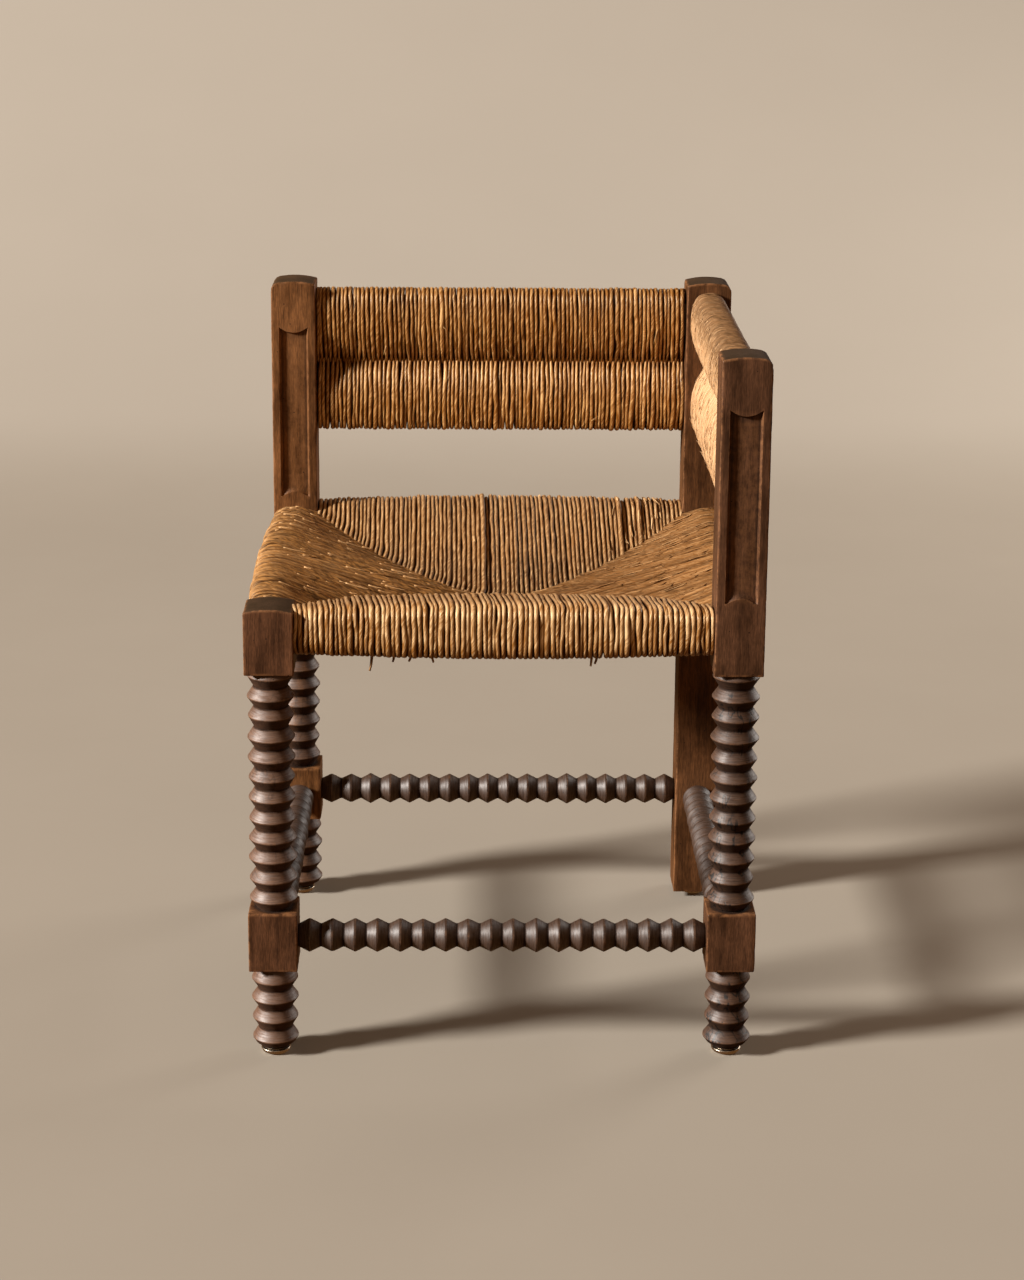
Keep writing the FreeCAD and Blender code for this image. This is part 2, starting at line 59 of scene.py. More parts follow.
corner_low, corner_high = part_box("corner_post")
POST_HALF = (corner_high.x - corner_low.x) / 2
FOOT = 7 * MM
BLOCK_BOTTOM, BLOCK_TOP = mm(93, 153)
SQUARE_BOTTOM = 393.5 * MM
ARRIS, ARRIS_ROOM = mm(1.1, 2.6)
TOP_RISE, TOP_ROUND, TOP_ROOM = mm(3, 7, 12)
UPPER_RINGS, UPPER_LEAD = 12, 5.2 * MM
LOWER_RINGS, LOWER_LEAD = 4, 14 * MM
LEG_RING, LEG_NECK = mm(22.75, 16.25)
GLIDE_RIM = 14 * MM
CREST_HALF, CREST_RUB = mm(0.55, 0.3)
GROOVE_HALF, GROOVE_SIDE, GROOVE_FLOOR = mm(0.6, 0.45, 0.2)
RING_DRIFT, RING_UNEVEN, RING_LIMIT = mm(0.35, 0.5, 0.9)
# Painted shade on the flank below each leg ring's crest.
UNDER_SHADE = 0.72
CHIP_SIZE, CHIP_DEPTH = mm(6, 1.3)
DENT_SIZE, DENT_DEPTH = mm(9, 0.9)
RECESS_DROP, RECESS_LENGTH, RECESS_ROOM = mm(49, 187, 10)
RECESS_HALF, RECESS_BEVEL, RECESS_CORNER = mm(15.5, 1.9, 0.8)
RECESS_DEPTH, RECESS_TONGUE, RECESS_BLEND = mm(3.4, 6, 8)
LEVEL_STEP, BLOCK_STEP, END_ROOM = mm(6, 5, 3)
CREASE = math.radians(26)
PATCH_CELLS = 32


def ease(low, high, value):
    share = np.clip((np.asarray(value, float) - low) / (high - low), 0, 1)
    return share * share * (3 - 2 * share)


def patches(points, size, seed):
    """Smooth random values from -1 to 1 that change over about size."""
    table = np.random.default_rng(seed).uniform(-1, 1, (PATCH_CELLS, PATCH_CELLS, PATCH_CELLS))
    cell = np.asarray(points, float) / size
    base = np.floor(cell).astype(int)
    part = cell - base
    part = part * part * (3 - 2 * part)
    total = np.zeros(cell.shape[:-1])
    for corner in itertools.product((0, 1), repeat=3):
        weight = np.prod(np.where(corner, part, 1 - part), axis=-1)
        index = (base + corner) % PATCH_CELLS
        total += weight * table[index[..., 0], index[..., 1], index[..., 2]]
    return total


def tube_faces(rows, columns, first=0):
    """Quads between closed rows of points, then a face over each end."""
    row, column = np.meshgrid(np.arange(rows - 1), np.arange(columns), indexing="ij")
    after = (column + 1) % columns
    low = first + row * columns
    high = low + columns
    quads = np.stack([low + column, low + after, high + after, high + column], axis=-1).reshape(-1, 4)
    start, last = first + np.arange(columns), first + (rows - 1) * columns + np.arange(columns)
    return quads.tolist() + [start[::-1].tolist(), last.tolist()]


def new_object(name, data):
    made = bpy.data.objects.new(name, data)
    scene.collection.objects.link(made)
    return made


def new_mesh(name, points, faces, material):
    mesh = bpy.data.meshes.new(name)
    mesh.from_pydata(points, [], faces)
    mesh.validate()
    mesh.materials.append(material)
    return mesh


def new_piece(name, points, faces, material, replaced, fields, crease=None):
    """A piece of the chair with one material and values on its points, which stands for CAD nodes."""
    mesh = new_mesh(name, points.tolist(), faces, material)
    for label, values in fields.items():
        values = np.asarray(values, np.float32)
        kind, key = ("FLOAT_VECTOR", "vector") if values.ndim == 2 else ("FLOAT", "value")
        mesh.attributes.new(label, kind, "POINT").data.foreach_set(key, values.ravel())
    mesh.shade_smooth()
    if crease:
        mesh.set_sharp_from_angle(angle=crease)
    piece = new_object(name, mesh)
    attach(piece, "root")
    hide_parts(*replaced)


def feed(sockets, values):
    """Links each named socket to another one, or gives it a value."""
    for label, value in values.items():
        socket = sockets[label]
        if isinstance(value, bpy.types.NodeSocket):
            socket.id_data.links.new(value, socket)
        else:
            socket.default_value = (*value, 1) if socket.type == "RGBA" else value


def node(tree, kind, inputs=(), **settings):
    """A shader node with its options set and its inputs fed."""
    made = tree.nodes.new("ShaderNode" + kind)
    for label, value in settings.items():
        setattr(made, label, value)
    feed(made.inputs, dict(inputs))
    return made


def combine(operation, first, second):
    return node(first.id_data, "Math", {0: first, 1: second}, operation=operation).outputs[0]


def times(first, second):
    return combine("MULTIPLY", first, second)


def plus(first, second):
    return combine("ADD", first, second)


def mixed(share, first, second):
    return node(share.id_data, "Mix", {0: share, 6: first, 7: second}, data_type="RGBA").outputs[2]


def shaded(colour, share):
    ends = {0: 1.0, 6: colour, 7: share}
    return node(colour.id_data, "Mix", ends, data_type="RGBA", blend_type="MULTIPLY").outputs[2]


def spread(value, low, high, to_low=0.0, to_high=1.0):
    ends = {"Value": value, "From Min": low, "From Max": high, "To Min": to_low, "To Max": to_high}
    return node(value.id_data, "MapRange", ends, interpolation_type="SMOOTHSTEP").outputs[0]


def clouds(place, stretch, detail=3.0, rough=0.55):
    """Soft noise with so many cells to the metre along each axis."""
    tree = place.id_data
    where = node(tree, "VectorMath", {0: place, 1: stretch}, operation="MULTIPLY").outputs[0]
    ends = {"Vector": where, "Scale": 1.0, "Detail": detail, "Roughness": rough}
    return node(tree, "TexNoise", ends).outputs["Fac"]


def point_field(tree, label, output="Fac"):
    return node(tree, "Attribute", attribute_name=label).outputs[output]


def new_group(name, place, tones, shares, results):
    """An empty shader group, its input sockets and its output sockets."""
    group = bpy.data.node_groups.new(name, "ShaderNodeTree")
    ends = [(place, "INPUT", "Vector", (0, 0, 0))]
    ends += [(label, "INPUT", "Color", (*tone, 1)) for label, tone in tones.items()]
    ends += [(label, "INPUT", "Float", share) for label, share in shares.items()]
    ends += [("Color", "OUTPUT", "Color", (0, 0, 0, 1))]
    ends += [(label, "OUTPUT", "Float", 0.0) for label in results]
    for label, way, kind, value in ends:
        group.interface.new_socket(label, in_out=way, socket_type="NodeSocket" + kind).default_value = value
    return group, group.nodes.new("NodeGroupInput").outputs, group.nodes.new("NodeGroupOutput").inputs


def new_material(name):
    material = bpy.data.materials.new(name)
    material.use_nodes = True
    return material, material.node_tree, material.node_tree.nodes["Principled BSDF"].inputs


def show(tree, shader, group, inputs, bump_strength, bump_depth):
    """Places a group in a material and shows its colour, roughness and relief."""
    looks = node(tree, "Group", inputs, node_tree=group).outputs
    bump = node(tree, "Bump", {"Height": looks["Height"], "Strength": bump_strength, "Distance": bump_depth})
    feed(shader, {"Base Color": looks["Color"], "Roughness": looks["Roughness"], "Normal": bump.outputs[0]})
    return looks


AGED_WOOD, give, take = new_group("aged_wood", "Grain", tones={
    "Dark": (0.05, 0.0234, 0.0118), "Light": (0.15, 0.073, 0.0353), "Worn": (0.27, 0.1217, 0.0487),
    "Lathe Dark": (0.045, 0.0206, 0.0109), "Lathe Light": (0.105, 0.0524, 0.0302),
}, shares={
    "Turned": 0.0, "End": 0.0, "Wear": 0.0, "Grime_And_Shade": 0.0, "Wax": 0.5, "Checks": 0.0,
}, results=("Roughness", "Coat", "Height"))
# The second tone is near-black, for dirt and for painted shade in grooves, joints, recesses and under the
# rings.
END_GRAIN, GRIME_AND_SHADE, CRACK = (0.034, 0.0206, 0.0076), (0.01, 0.0042, 0.0021), (0.006, 0.0028, 0.0017)
WORM_HOLES = 80.0
grain, turned = give["Grain"], give["Turned"]
streaks = clouds(grain, (9, 210, 210), 6.0, 0.65)
pores = clouds(grain, (45, 1500, 1500), 3.0, 0.6)
tone = clouds(grain, (16, 45, 45), 4.0, 0.6)
dashes = clouds(grain, (150, 1100, 1100), 2.0, 0.5)
lathe_lines = clouds(grain, (1600, 60, 60), 3.0, 0.6)
rub = clouds(grain, (150, 150, 150), 5.0, 0.7)
splits = clouds(grain, (5, 95, 95), 2.0, 0.5)
split_areas = clouds(grain, (24, 24, 24))
wax_rings = clouds(grain, (700, 90, 90), 4.0, 0.7)
worm = node(AGED_WOOD, "TexVoronoi", {"Vector": grain, "Scale": WORM_HOLES}).outputs["Distance"]
figure = plus(times(streaks, 0.4), times(tone, 0.7))
wood = mixed(spread(figure, 0.34, 0.76), give["Dark"], give["Light"])
wood = shaded(wood, spread(pores, 0.64, 0.46, 0.6, 1.0))
wood = shaded(wood, spread(dashes, 0.42, 0.6, 0.8, 1.12))
lathe = mixed(spread(lathe_lines, 0.3, 0.7), give["Lathe Dark"], give["Lathe Light"])
lathe = mixed(spread(tone, 0.4, 0.72, 0.0, 0.6), lathe, wood)
wood = mixed(turned, wood, lathe)
wood = mixed(times(give["End"], 0.8), wood, END_GRAIN)
wood = mixed(times(give["Wear"], spread(rub, 0.36, 0.68)), wood, give["Worn"])
# Darkens towards the near-black tone: some dirt, and painted shade in grooves, joints, recess corners and under
# the rings.
overlay_share = times(give["Grime_And_Shade"], spread(rub, 0.75, 0.3, 0.7, 1.0))
wood = mixed(overlay_share, wood, GRIME_AND_SHADE)
split_line = combine("ABSOLUTE", combine("SUBTRACT", splits, 0.52), 0)
split_line = times(spread(split_line, 0.032, 0.013), spread(split_areas, 0.48, 0.55))
split_line = times(split_line, times(give["Checks"], turned))
openings = combine("MAXIMUM", split_line, spread(worm, 0.06, 0.04))
wood = mixed(openings, wood, CRACK)
dull = times(combine("MAXIMUM", overlay_share, give["End"]), 0.35)
wax = times(turned, spread(overlay_share, 0.5, 0.0))
wax = times(wax, spread(wax_rings, 0.35, 0.62, 0.3, 1.0))
relief = plus(times(pores, 0.6), times(rub, 0.5))
feed(take, {
    "Color": wood,
    "Roughness": plus(spread(tone, 0.3, 0.75, 0.4, 0.62), dull),
    "Coat": times(wax, give["Wax"]),
    "Height": combine("SUBTRACT", relief, openings),
})


def waxed_wood(name, plain, lathe, wax, checks):
    """Dark wood under old wax, rubbed at the edges. Plain and lathe are pairs of tones."""
    material, tree, shader = new_material(name)
    marks = {"Turned": "turned", "End": "end_grain", "Wear": "wear", "Grime_And_Shade": "grime_and_shade"}
    looks = show(tree, shader, AGED_WOOD, {
        "Grain": point_field(tree, "grain_at", "Vector"),
        **{label: point_field(tree, field) for label, field in marks.items()},
        "Dark": plain[0], "Light": plain[1], "Lathe Dark": lathe[0], "Lathe Light": lathe[1],
        "Wax": wax, "Checks": checks,
    }, 0.35, 0.4 * MM)
    feed(shader, {
        "Coat Weight": looks["Coat"], "Coat Roughness": 0.57, "Coat IOR": 1.9, "Specular IOR Level": 0.22})
    return material



# Columns of points round a post: along the four faces, with a few more round each arris
face_end = POST_HALF - ARRIS_ROOM
floor_half = RECESS_HALF - RECESS_BEVEL
rim_stops = [RECESS_HALF + rim * MM for rim in (0, 0.7, 2.2, 3.8)] + [face_end]
floor_stops = [1.5 * MM, 4.5 * MM, 7.5 * MM, 10.5 * MM, floor_half - RECESS_CORNER, floor_half]
half_stops = np.array(floor_stops + rim_stops)
front_stops = np.concatenate([-half_stops[::-1], half_stops])
side_stops = np.linspace(-face_end, face_end, 13)
columns = []
for quarter, stops in enumerate((front_stops, side_stops, side_stops, side_stops)):
    columns += [(quarter, stop, -1.0) for stop in stops]
    columns += [(quarter, face_end, bend) for bend in np.radians([0, 22.5, 45, 67.5, 90])]
QUARTER, STOP, BEND = np.array(columns).T
ON_ARRIS = BEND >= 0
quarter_turn = np.pi / 2 * QUARTER
ALONG = np.column_stack([np.cos(quarter_turn), np.sin(quarter_turn)])
OUT = np.column_stack([np.sin(quarter_turn), -np.cos(quarter_turn)])
half_face = np.pi / 4 * face_end / POST_HALF
arris_turn = half_face + (np.pi / 2 - 2 * half_face) * BEND / (np.pi / 2)
round_turn = quarter_turn - np.pi / 2 + np.where(ON_ARRIS, arris_turn, np.pi / 4 * STOP / POST_HALF)
ROUND = np.column_stack([np.cos(round_turn), np.sin(round_turn)])
ARRIS_WEAR = np.where(ON_ARRIS, 0.45 + 0.55 * np.sin(2 * np.clip(BEND, 0, None)), 0.0)
ON_FRONT = (QUARTER == 0) & ~ON_ARRIS
IN_RECESS = ON_FRONT & (np.abs(STOP) < floor_half + 0.1 * MM)


def level(points, wear=0.0, grime_and_shade=0.0, turned=0.0, end_grain=0.0):
    """One loop of points round a post, with what its surface is like there."""
    marks = (wear, grime_and_shade, turned, end_grain)
    return points, [np.broadcast_to(np.asarray(mark, float), len(points)) for mark in marks]


def square_points(height, sunk=0.0, drawn_in=0.0):
    half = POST_HALF - drawn_in
    along = np.where(ON_ARRIS, half - ARRIS + ARRIS * np.sin(BEND), STOP * half / POST_HALF)
    out = np.where(ON_ARRIS, half - ARRIS + ARRIS * np.cos(BEND), half - sunk)
    across = along[:, None] * ALONG + out[:, None] * OUT
    return np.column_stack([across, np.broadcast_to(height, len(along))])


def round_points(height, radius):
    return np.column_stack([ROUND * np.reshape(radius, (-1, 1)), np.full(len(ROUND), height)])


def ring_stations(edges, radii, neck, start, end, under):
    """Stations (height, radius, wear, darkening) of a run of rings with soft crests and narrow grooves; the
    darkening stands for dirt and painted shade under the crests, in the grooves and at the ends.
    """
    turns = [(*start, False)]
    for number, (edge, radius) in enumerate(zip(edges, radii)):
        turns.append((edge, radius, True))
        if number + 1 < len(edges):
            turns.append(((edge + edges[number + 1]) / 2, neck, False))
    turns.append((*end, False))
    stations = []
    for number, (height, radius, is_crest) in enumerate(turns):
        if is_crest:
            stations.append((height - CREST_HALF, radius - CREST_RUB, 0.25, 0.5))
            stations.append((height + CREST_HALF, radius - CREST_RUB, 0.4, 0.0))
        elif 0 < number < len(turns) - 1:
            stations.append((height - GROOVE_HALF, radius + GROOVE_SIDE, 0.0, 0.85))
            stations.append((height, radius + GROOVE_FLOOR, 0.0, 1.0))
            stations.append((height + GROOVE_HALF, radius + GROOVE_SIDE, 0.0, 0.85))
        else:
            stations.append((height, radius, 0.0, 1.0))
        if number + 1 < len(turns):
            after_height, after_radius, _ = turns[number + 1]
            for share in (0.14, 0.5, 0.86):
                # From a groove up to the next crest the surface faces down and gets painted shade; above a
                # crest only a little, near the groove.
                grime_and_shade = 0.5 * share ** 3 if is_crest else under
                between = height + (after_height - height) * share
                stations.append((between, radius + (after_radius - radius) * share, 0.0, grime_and_shade))
    return stations


def ring_levels(bottom, top, lead, count, seed):
    """The turned run of a leg between two square parts, a little uneven as hand turning is."""
    draws = np.random.default_rng(seed)
    pitch = (top - bottom - lead) / (count - 0.5)
    edges = bottom + pitch / 2 + pitch * np.arange(count) + draws.normal(0, RING_DRIFT, count)
    radii = LEG_RING + np.clip(draws.normal(0, RING_UNEVEN, count), -RING_LIMIT, RING_LIMIT)
    end_radius = max(LEG_NECK, LEG_RING - (LEG_RING - LEG_NECK) * lead / (pitch / 2))
    stations = ring_stations(edges, radii, LEG_NECK, (bottom, LEG_NECK), (top, end_radius), UNDER_SHADE)
    if bottom == FOOT:
        # The collar where the leg steps in over the glide is darkened as painted shade in the joint.
        collar = [(FOOT, GLIDE_RIM - 0.8 * MM, 0.0, 1.0),
                  (FOOT + 2.4 * MM, GLIDE_RIM - 0.6 * MM, 0.0, 1.0),
                  (FOOT + 2.6 * MM, LEG_NECK - 1.2 * MM, 0.2, 0.6),
                  (FOOT + 3.4 * MM, LEG_NECK + 0.2 * MM, 0.0, 0.9)]
        stations = collar + stations[2:]
    for height, radius, wear, grime_and_shade in stations:
        points = round_points(height, radius)
        chips = ease(0.45, 0.9, patches(points + seed, CHIP_SIZE, seed)) * wear
        points = round_points(height, radius - CHIP_DEPTH * chips)
        yield level(points, np.clip(wear + chips, 0, 1), grime_and_shade, 1.0)


def plain_levels(bottom, top, step):
    for height in np.linspace(bottom, top, max(int((top - bottom) / step), 2)):
        yield level(square_points(height), ARRIS_WEAR)


def shoulder(height, up):
    """The squared end of a block: its lower (up = 1) or upper (up = -1) edges, slightly rounded."""
    steps = [(0.0, ARRIS), (0.3 * ARRIS, 0.3 * ARRIS), (ARRIS, 0.0)]
    ends = [level(square_points(height + up * rise, drawn_in=inset), 0.85) for rise, inset in steps]
    return ends if up > 0 else ends[::-1]


def recess_levels(bottom, top):
    """The part of a post with the sunk panel: sloping walls, and ends that bulge inwards as tongues."""
    def tongue(half):
        return np.where(ON_FRONT, RECESS_TONGUE * np.clip(1 - (STOP / half) ** 2, 0, 1), 0)

    lip = np.where(ON_FRONT & (np.abs(STOP) < RECESS_HALF + 0.1 * MM), 0.35, ARRIS_WEAR)
    floor = np.where(IN_RECESS, RECESS_DEPTH, 0)
    side_lip = np.where(np.isclose(np.abs(STOP), RECESS_HALF) & ON_FRONT, 0.7, ARRIS_WEAR)
    # Painted shade along the foot of each recess wall and on the floor at the recess's top end.
    corner_shade = np.where(np.isclose(np.abs(STOP), floor_half - RECESS_CORNER) & ON_FRONT, 0.7, 0)
    end_shade = np.where(IN_RECESS, 0.4, 0)
    # The recess floor is lightened with the worn tone as painted light; the lips carry real wear.
    floor_light_and_lip_wear = np.where(IN_RECESS, 0.3, side_lip)
    for share in (0.2, 0.6):
        height = bottom - RECESS_BLEND * (1 - share) + share * tongue(RECESS_HALF)
        yield level(square_points(height), ARRIS_WEAR)
    yield level(square_points(bottom + tongue(RECESS_HALF)), lip)
    for rise, sunk in ((1.2 * MM, 0.35), (3 * MM, 0.72), (5.5 * MM, 0.93)):
        yield level(square_points(bottom + rise + tongue(floor_half), sunk * floor), side_lip)
    for height in np.linspace(bottom + 14 * MM, top - 14 * MM, 20):
        yield level(square_points(height, floor), floor_light_and_lip_wear, corner_shade)
    yield level(square_points(top - RECESS_BEVEL - tongue(floor_half), floor), side_lip, end_shade)
    yield level(square_points(top - tongue(RECESS_HALF)), lip)
    for share in (0.6, 0.2):
        height = top + RECESS_BLEND * (1 - share) - share * tongue(RECESS_HALF)
        yield level(square_points(height), ARRIS_WEAR)


def top_levels(top, outer):
    """The end of a post: a low arch across X, its outer edge well rounded on the tall posts."""
    def profile(x):
        high = top - TOP_RISE * (x / POST_HALF) ** 2
        past = np.clip(x * outer - (POST_HALF - TOP_ROUND), 0, TOP_ROUND)
        return high - (TOP_ROUND - np.sqrt(np.clip(TOP_ROUND ** 2 - past ** 2, 0, None)))

    bend = np.clip(BEND, 0, None)[:, None]
    facing = OUT * np.cos(bend) + ALONG * np.sin(bend)
    edge = ARRIS * (1 - np.clip(facing[:, 0] * outer, 0, 1))
    below = square_points(0.0)
    below[:, 2] = profile(below[:, 0]) - edge - 1.5 * MM
    yield level(below, ARRIS_WEAR)
    for lean in np.radians([0, 30, 60, 90]):
        points = square_points(0.0, drawn_in=edge * (1 - np.cos(lean)))
        points[:, 2] = profile(points[:, 0]) - edge * (1 - np.sin(lean))
        yield level(points, 0.9, end_grain=ease(0.5, 1.0, np.sin(lean)))
    for share in (0.97, 0.93, 0.87, 0.79, 0.68, 0.5, 0.3, 0.12):
        inner = points.copy()
        inner[:, :2] *= share
        inner[:, 2] = profile(inner[:, 0])
        yield level(inner, 0.5 * ease(0.9, 1.0, share), end_grain=1.0)


def make_post(name, turned, recess, outer, material, seed):
    low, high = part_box(name)
    centre = (low + high) / 2
    levels = []
    bottom = FOOT
    if turned:
        levels += ring_levels(FOOT, BLOCK_BOTTOM, LOWER_LEAD, LOWER_RINGS, seed)
        levels += shoulder(BLOCK_BOTTOM, 1)
        levels += plain_levels(BLOCK_BOTTOM + END_ROOM, BLOCK_TOP - END_ROOM, BLOCK_STEP)
        levels += shoulder(BLOCK_TOP, -1)
        # Where the turning meets the top of the block, the inner corner is darkened as painted shade.
        levels.append(level(round_points(BLOCK_TOP - 0.2 * MM, POST_HALF - 1.6 * MM), 0.8))
        levels.append(level(round_points(BLOCK_TOP - 0.6 * MM, LEG_NECK + 2 * MM), 0.0, 0.9))
        levels += ring_levels(BLOCK_TOP, SQUARE_BOTTOM, UPPER_LEAD, UPPER_RINGS, seed + 50)
        bottom = SQUARE_BOTTOM
    levels += shoulder(bottom, 1)
    bottom += END_ROOM
    if recess:
        mouth = high.z - RECESS_DROP
        levels += plain_levels(bottom, mouth - RECESS_LENGTH - RECESS_ROOM, LEVEL_STEP)
        levels += recess_levels(mouth - RECESS_LENGTH, mouth)
        bottom = mouth + RECESS_ROOM
    levels += plain_levels(bottom, high.z - TOP_ROOM, LEVEL_STEP)
    levels += top_levels(high.z, outer)
    points = np.array([points for points, _ in levels])
    marks = np.array([marks for _, marks in levels]).transpose(1, 0, 2).reshape(4, -1)
    rows, count = points.shape[:2]
    points = points.reshape(-1, 3)
    dents = patches(points + seed, DENT_SIZE, seed + 5)
    worn = ease(0.25, 0.9, dents) * np.clip(marks[0], 0, 1) * (1 - marks[2])
    inwards = -points * (1, 1, 0)
    inwards /= np.maximum(np.linalg.norm(inwards, axis=1, keepdims=True), 1e-6)
    points += inwards * (worn * DENT_DEPTH)[:, None]
    points += (centre.x, centre.y, 0)
    fields = dict(zip(("wear", "grime_and_shade", "turned", "end_grain"), marks))
    fields["grain_at"] = points[:, [2, 0, 1]] + np.random.default_rng(seed).uniform(0, 5, 3)
    faces = tube_faces(rows, count)
    new_piece(name + "_wood", points, faces, material, [name], fields, CREASE)


make_post("front_left_leg", turned=True, recess=False, outer=0, seed=11, material=waxed_wood(
    "brown_post_wood", plain=((0.05, 0.0208, 0.0096), (0.186, 0.079, 0.035)),
    lathe=((0.088, 0.0436, 0.0244), (0.2, 0.1068, 0.0622)), wax=0.9, checks=0.35))
make_post("front_right_leg", turned=True, recess=True, outer=1, seed=12, material=waxed_wood(
    "dry_post_wood", plain=((0.044, 0.0187, 0.0086), (0.168, 0.074, 0.0345)),
    lathe=((0.036, 0.0166, 0.0091), (0.098, 0.0505, 0.0286)), wax=0.6, checks=1.0))
make_post("back_left_leg", turned=True, recess=True, outer=-1, seed=13, material=waxed_wood(
    "golden_post_wood", plain=((0.076, 0.0288, 0.0092), (0.305, 0.1296, 0.0425)),
    lathe=((0.06, 0.0281, 0.0151), (0.145, 0.0749, 0.042)), wax=0.7, checks=0.35))
make_post("corner_post", turned=False, recess=False, outer=1, seed=14, material=waxed_wood(
    "corner_post_wood", plain=((0.048, 0.0187, 0.0067), (0.19, 0.0796, 0.0286)),
    lathe=((0.07, 0.0337, 0.0185), (0.17, 0.0889, 0.0504)), wax=0.6, checks=0.35))

# Glides
# A domed steel glide with worn nickel is nailed under each post. It has a rolled rim, and above it the leg
# steps in to a collar, where the wood has lifted a little, darkened with painted shade.

GLIDE_FLAT, DOME_HEIGHT = mm(8, 3.6)
RIM_HALF, RIM_ROLL = mm(0.9, 0.5)
GLIDE_CREASE = math.radians(50)
LATHE_SIDES = 48


def full_turn(sides):
    return np.arange(sides) * 2 * np.pi / sides


def lathe_points(stations):
    """Loops of points round Z through (height, radius) stations."""
    turn = full_turn(LATHE_SIDES)
    height, radius = np.array(stations, float).T
    across = radius[:, None, None] * np.stack([np.cos(turn), np.sin(turn)], axis=-1)
    up = np.broadcast_to(height[:, None, None], (len(height), LATHE_SIDES, 1))
    return np.concatenate([across, up], axis=-1)


glide_nickel, tree, shader = new_material("glide_nickel")
place = node(tree, "TexCoord").outputs["Object"]
rubs = clouds(place, (900, 900, 900), 4.0)
tarnish = spread(clouds(place, (160, 160, 160), 4.0), 0.5, 0.72, 0.0, 0.7)
bump = node(tree, "Bump", {"Height": rubs, "Strength": 0.15, "Distance": 0.2 * MM})
feed(shader, {
    "Base Color": mixed(tarnish, (0.68, 0.599, 0.4788), (0.2, 0.1498, 0.0924)),
    "Roughness": spread(rubs, 0.3, 0.7, 0.2, 0.42),
    "Metallic": 1.0,
    "Normal": bump.outputs[0],
})

glide_profile = [(0.0, GLIDE_FLAT)]
for lean in np.radians(np.linspace(12, 90, 9)):
    glide_profile.append((DOME_HEIGHT * (1 - math.cos(lean)),
                          GLIDE_FLAT + (GLIDE_RIM - GLIDE_FLAT) * math.sin(lean)))
for lean in np.radians(np.linspace(20, 160, 6)):
    glide_profile.append((DOME_HEIGHT + RIM_HALF * (1 - math.cos(lean)),
                          GLIDE_RIM + RIM_ROLL * math.sin(lean)))
glide_profile += [(5.5 * MM, GLIDE_RIM - 1.2 * MM), (5.6 * MM, GLIDE_RIM - 3 * MM),
                  (FOOT, GLIDE_RIM - 3.2 * MM)]
for post in ("front_left_leg", "front_right_leg", "back_left_leg", "corner_post"):
    low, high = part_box(post)
    points = lathe_points(glide_profile).reshape(-1, 3) + ((low.x + high.x) / 2, (low.y + high.y) / 2, 0)
    faces = tube_faces(len(glide_profile), LATHE_SIDES)
    name = post.rsplit("_", 1)[0] + "_glide"
    new_piece(name, points, faces, glide_nickel, ["foot_glides"], {}, GLIDE_CREASE)

# Stretchers
# Four sticks turned into a close row of sharp rings, one between each pair of posts, held by round pins in
# the posts. The wood is darker and waxier than the posts, with pale nicks on the edges of the rings.

STRETCHER_RING, STRETCHER_NECK = mm(16.5, 11)
STRETCHER_HEIGHT = 122 * MM
STRETCHER_DRIFT, STRETCHER_UNEVEN, STRETCHER_LIMIT = mm(0.3, 0.35, 0.7)
NICK_SIZE, NICK_SHARE = 5 * MM, 0.07
CLEAR_X, CLEAR_Y = 2 * corner_low.x, 2 * corner_low.y
stretcher_wood = waxed_wood(
    "stretcher_wood", plain=((0.018, 0.0075, 0.0038), (0.055, 0.0243, 0.0118)),
    lathe=((0.03, 0.014, 0.0076), (0.085, 0.0459, 0.0277)), wax=0.8, checks=0.3)


def make_stretcher(name, clear, order, count, seed):
    """A turned stick that fills the clear length between two posts. Order turns it from Z to X or Y."""
    low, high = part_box(name)
    draws = np.random.default_rng(seed)
    centre = (low + high) / 2
    edges = (np.arange(count) + 0.5) * (clear / count) - clear / 2 + draws.normal(0, STRETCHER_DRIFT, count)
    uneven = np.clip(draws.normal(0, STRETCHER_UNEVEN, count), -STRETCHER_LIMIT, STRETCHER_LIMIT)
    start, end = (-clear / 2, STRETCHER_NECK), (clear / 2, STRETCHER_NECK)
    stations = ring_stations(edges, STRETCHER_RING + uneven, STRETCHER_NECK, start, end, 0.0)
    wear = np.repeat([station[2] for station in stations], LATHE_SIDES)
    grime_and_shade = np.repeat([station[3] for station in stations], LATHE_SIDES)
    points = lathe_points([station[:2] for station in stations]).reshape(-1, 3)
    chips = ease(0.4, 0.9, patches(points + seed, NICK_SIZE, seed)) * wear
    points[:, :2] *= (1 - NICK_SHARE * chips)[:, None]
    grain = points[:, [2, 0, 1]] + draws.uniform(0, 5, 3)
    points = points[:, order] + (centre.x, centre.y, STRETCHER_HEIGHT)
    fields = {"wear": np.clip(wear + chips, 0, 1), "grime_and_shade": grime_and_shade, "turned": np.ones(len(points)),
              "end_grain": np.zeros(len(points)), "grain_at": grain}
    faces = tube_faces(len(stations), LATHE_SIDES)
    new_piece(name + "_wood", points, faces, stretcher_wood, [name], fields, CREASE)


TO_X, TO_Y = [2, 0, 1], [1, 2, 0]
make_stretcher("front_stretcher", CLEAR_X, TO_X, 18, 31)
make_stretcher("rear_stretcher", CLEAR_X, TO_X, 18, 32)
make_stretcher("left_stretcher", CLEAR_Y, TO_Y, 17, 33)
make_stretcher("right_stretcher", CLEAR_Y, TO_Y, 17, 34)

# Rails
# Plain sawn sticks, four round the seat and two in each back, tenoned into the posts. The rush hides them,
# so they were left raw; their dark tones are painted shade where they show between the cords.

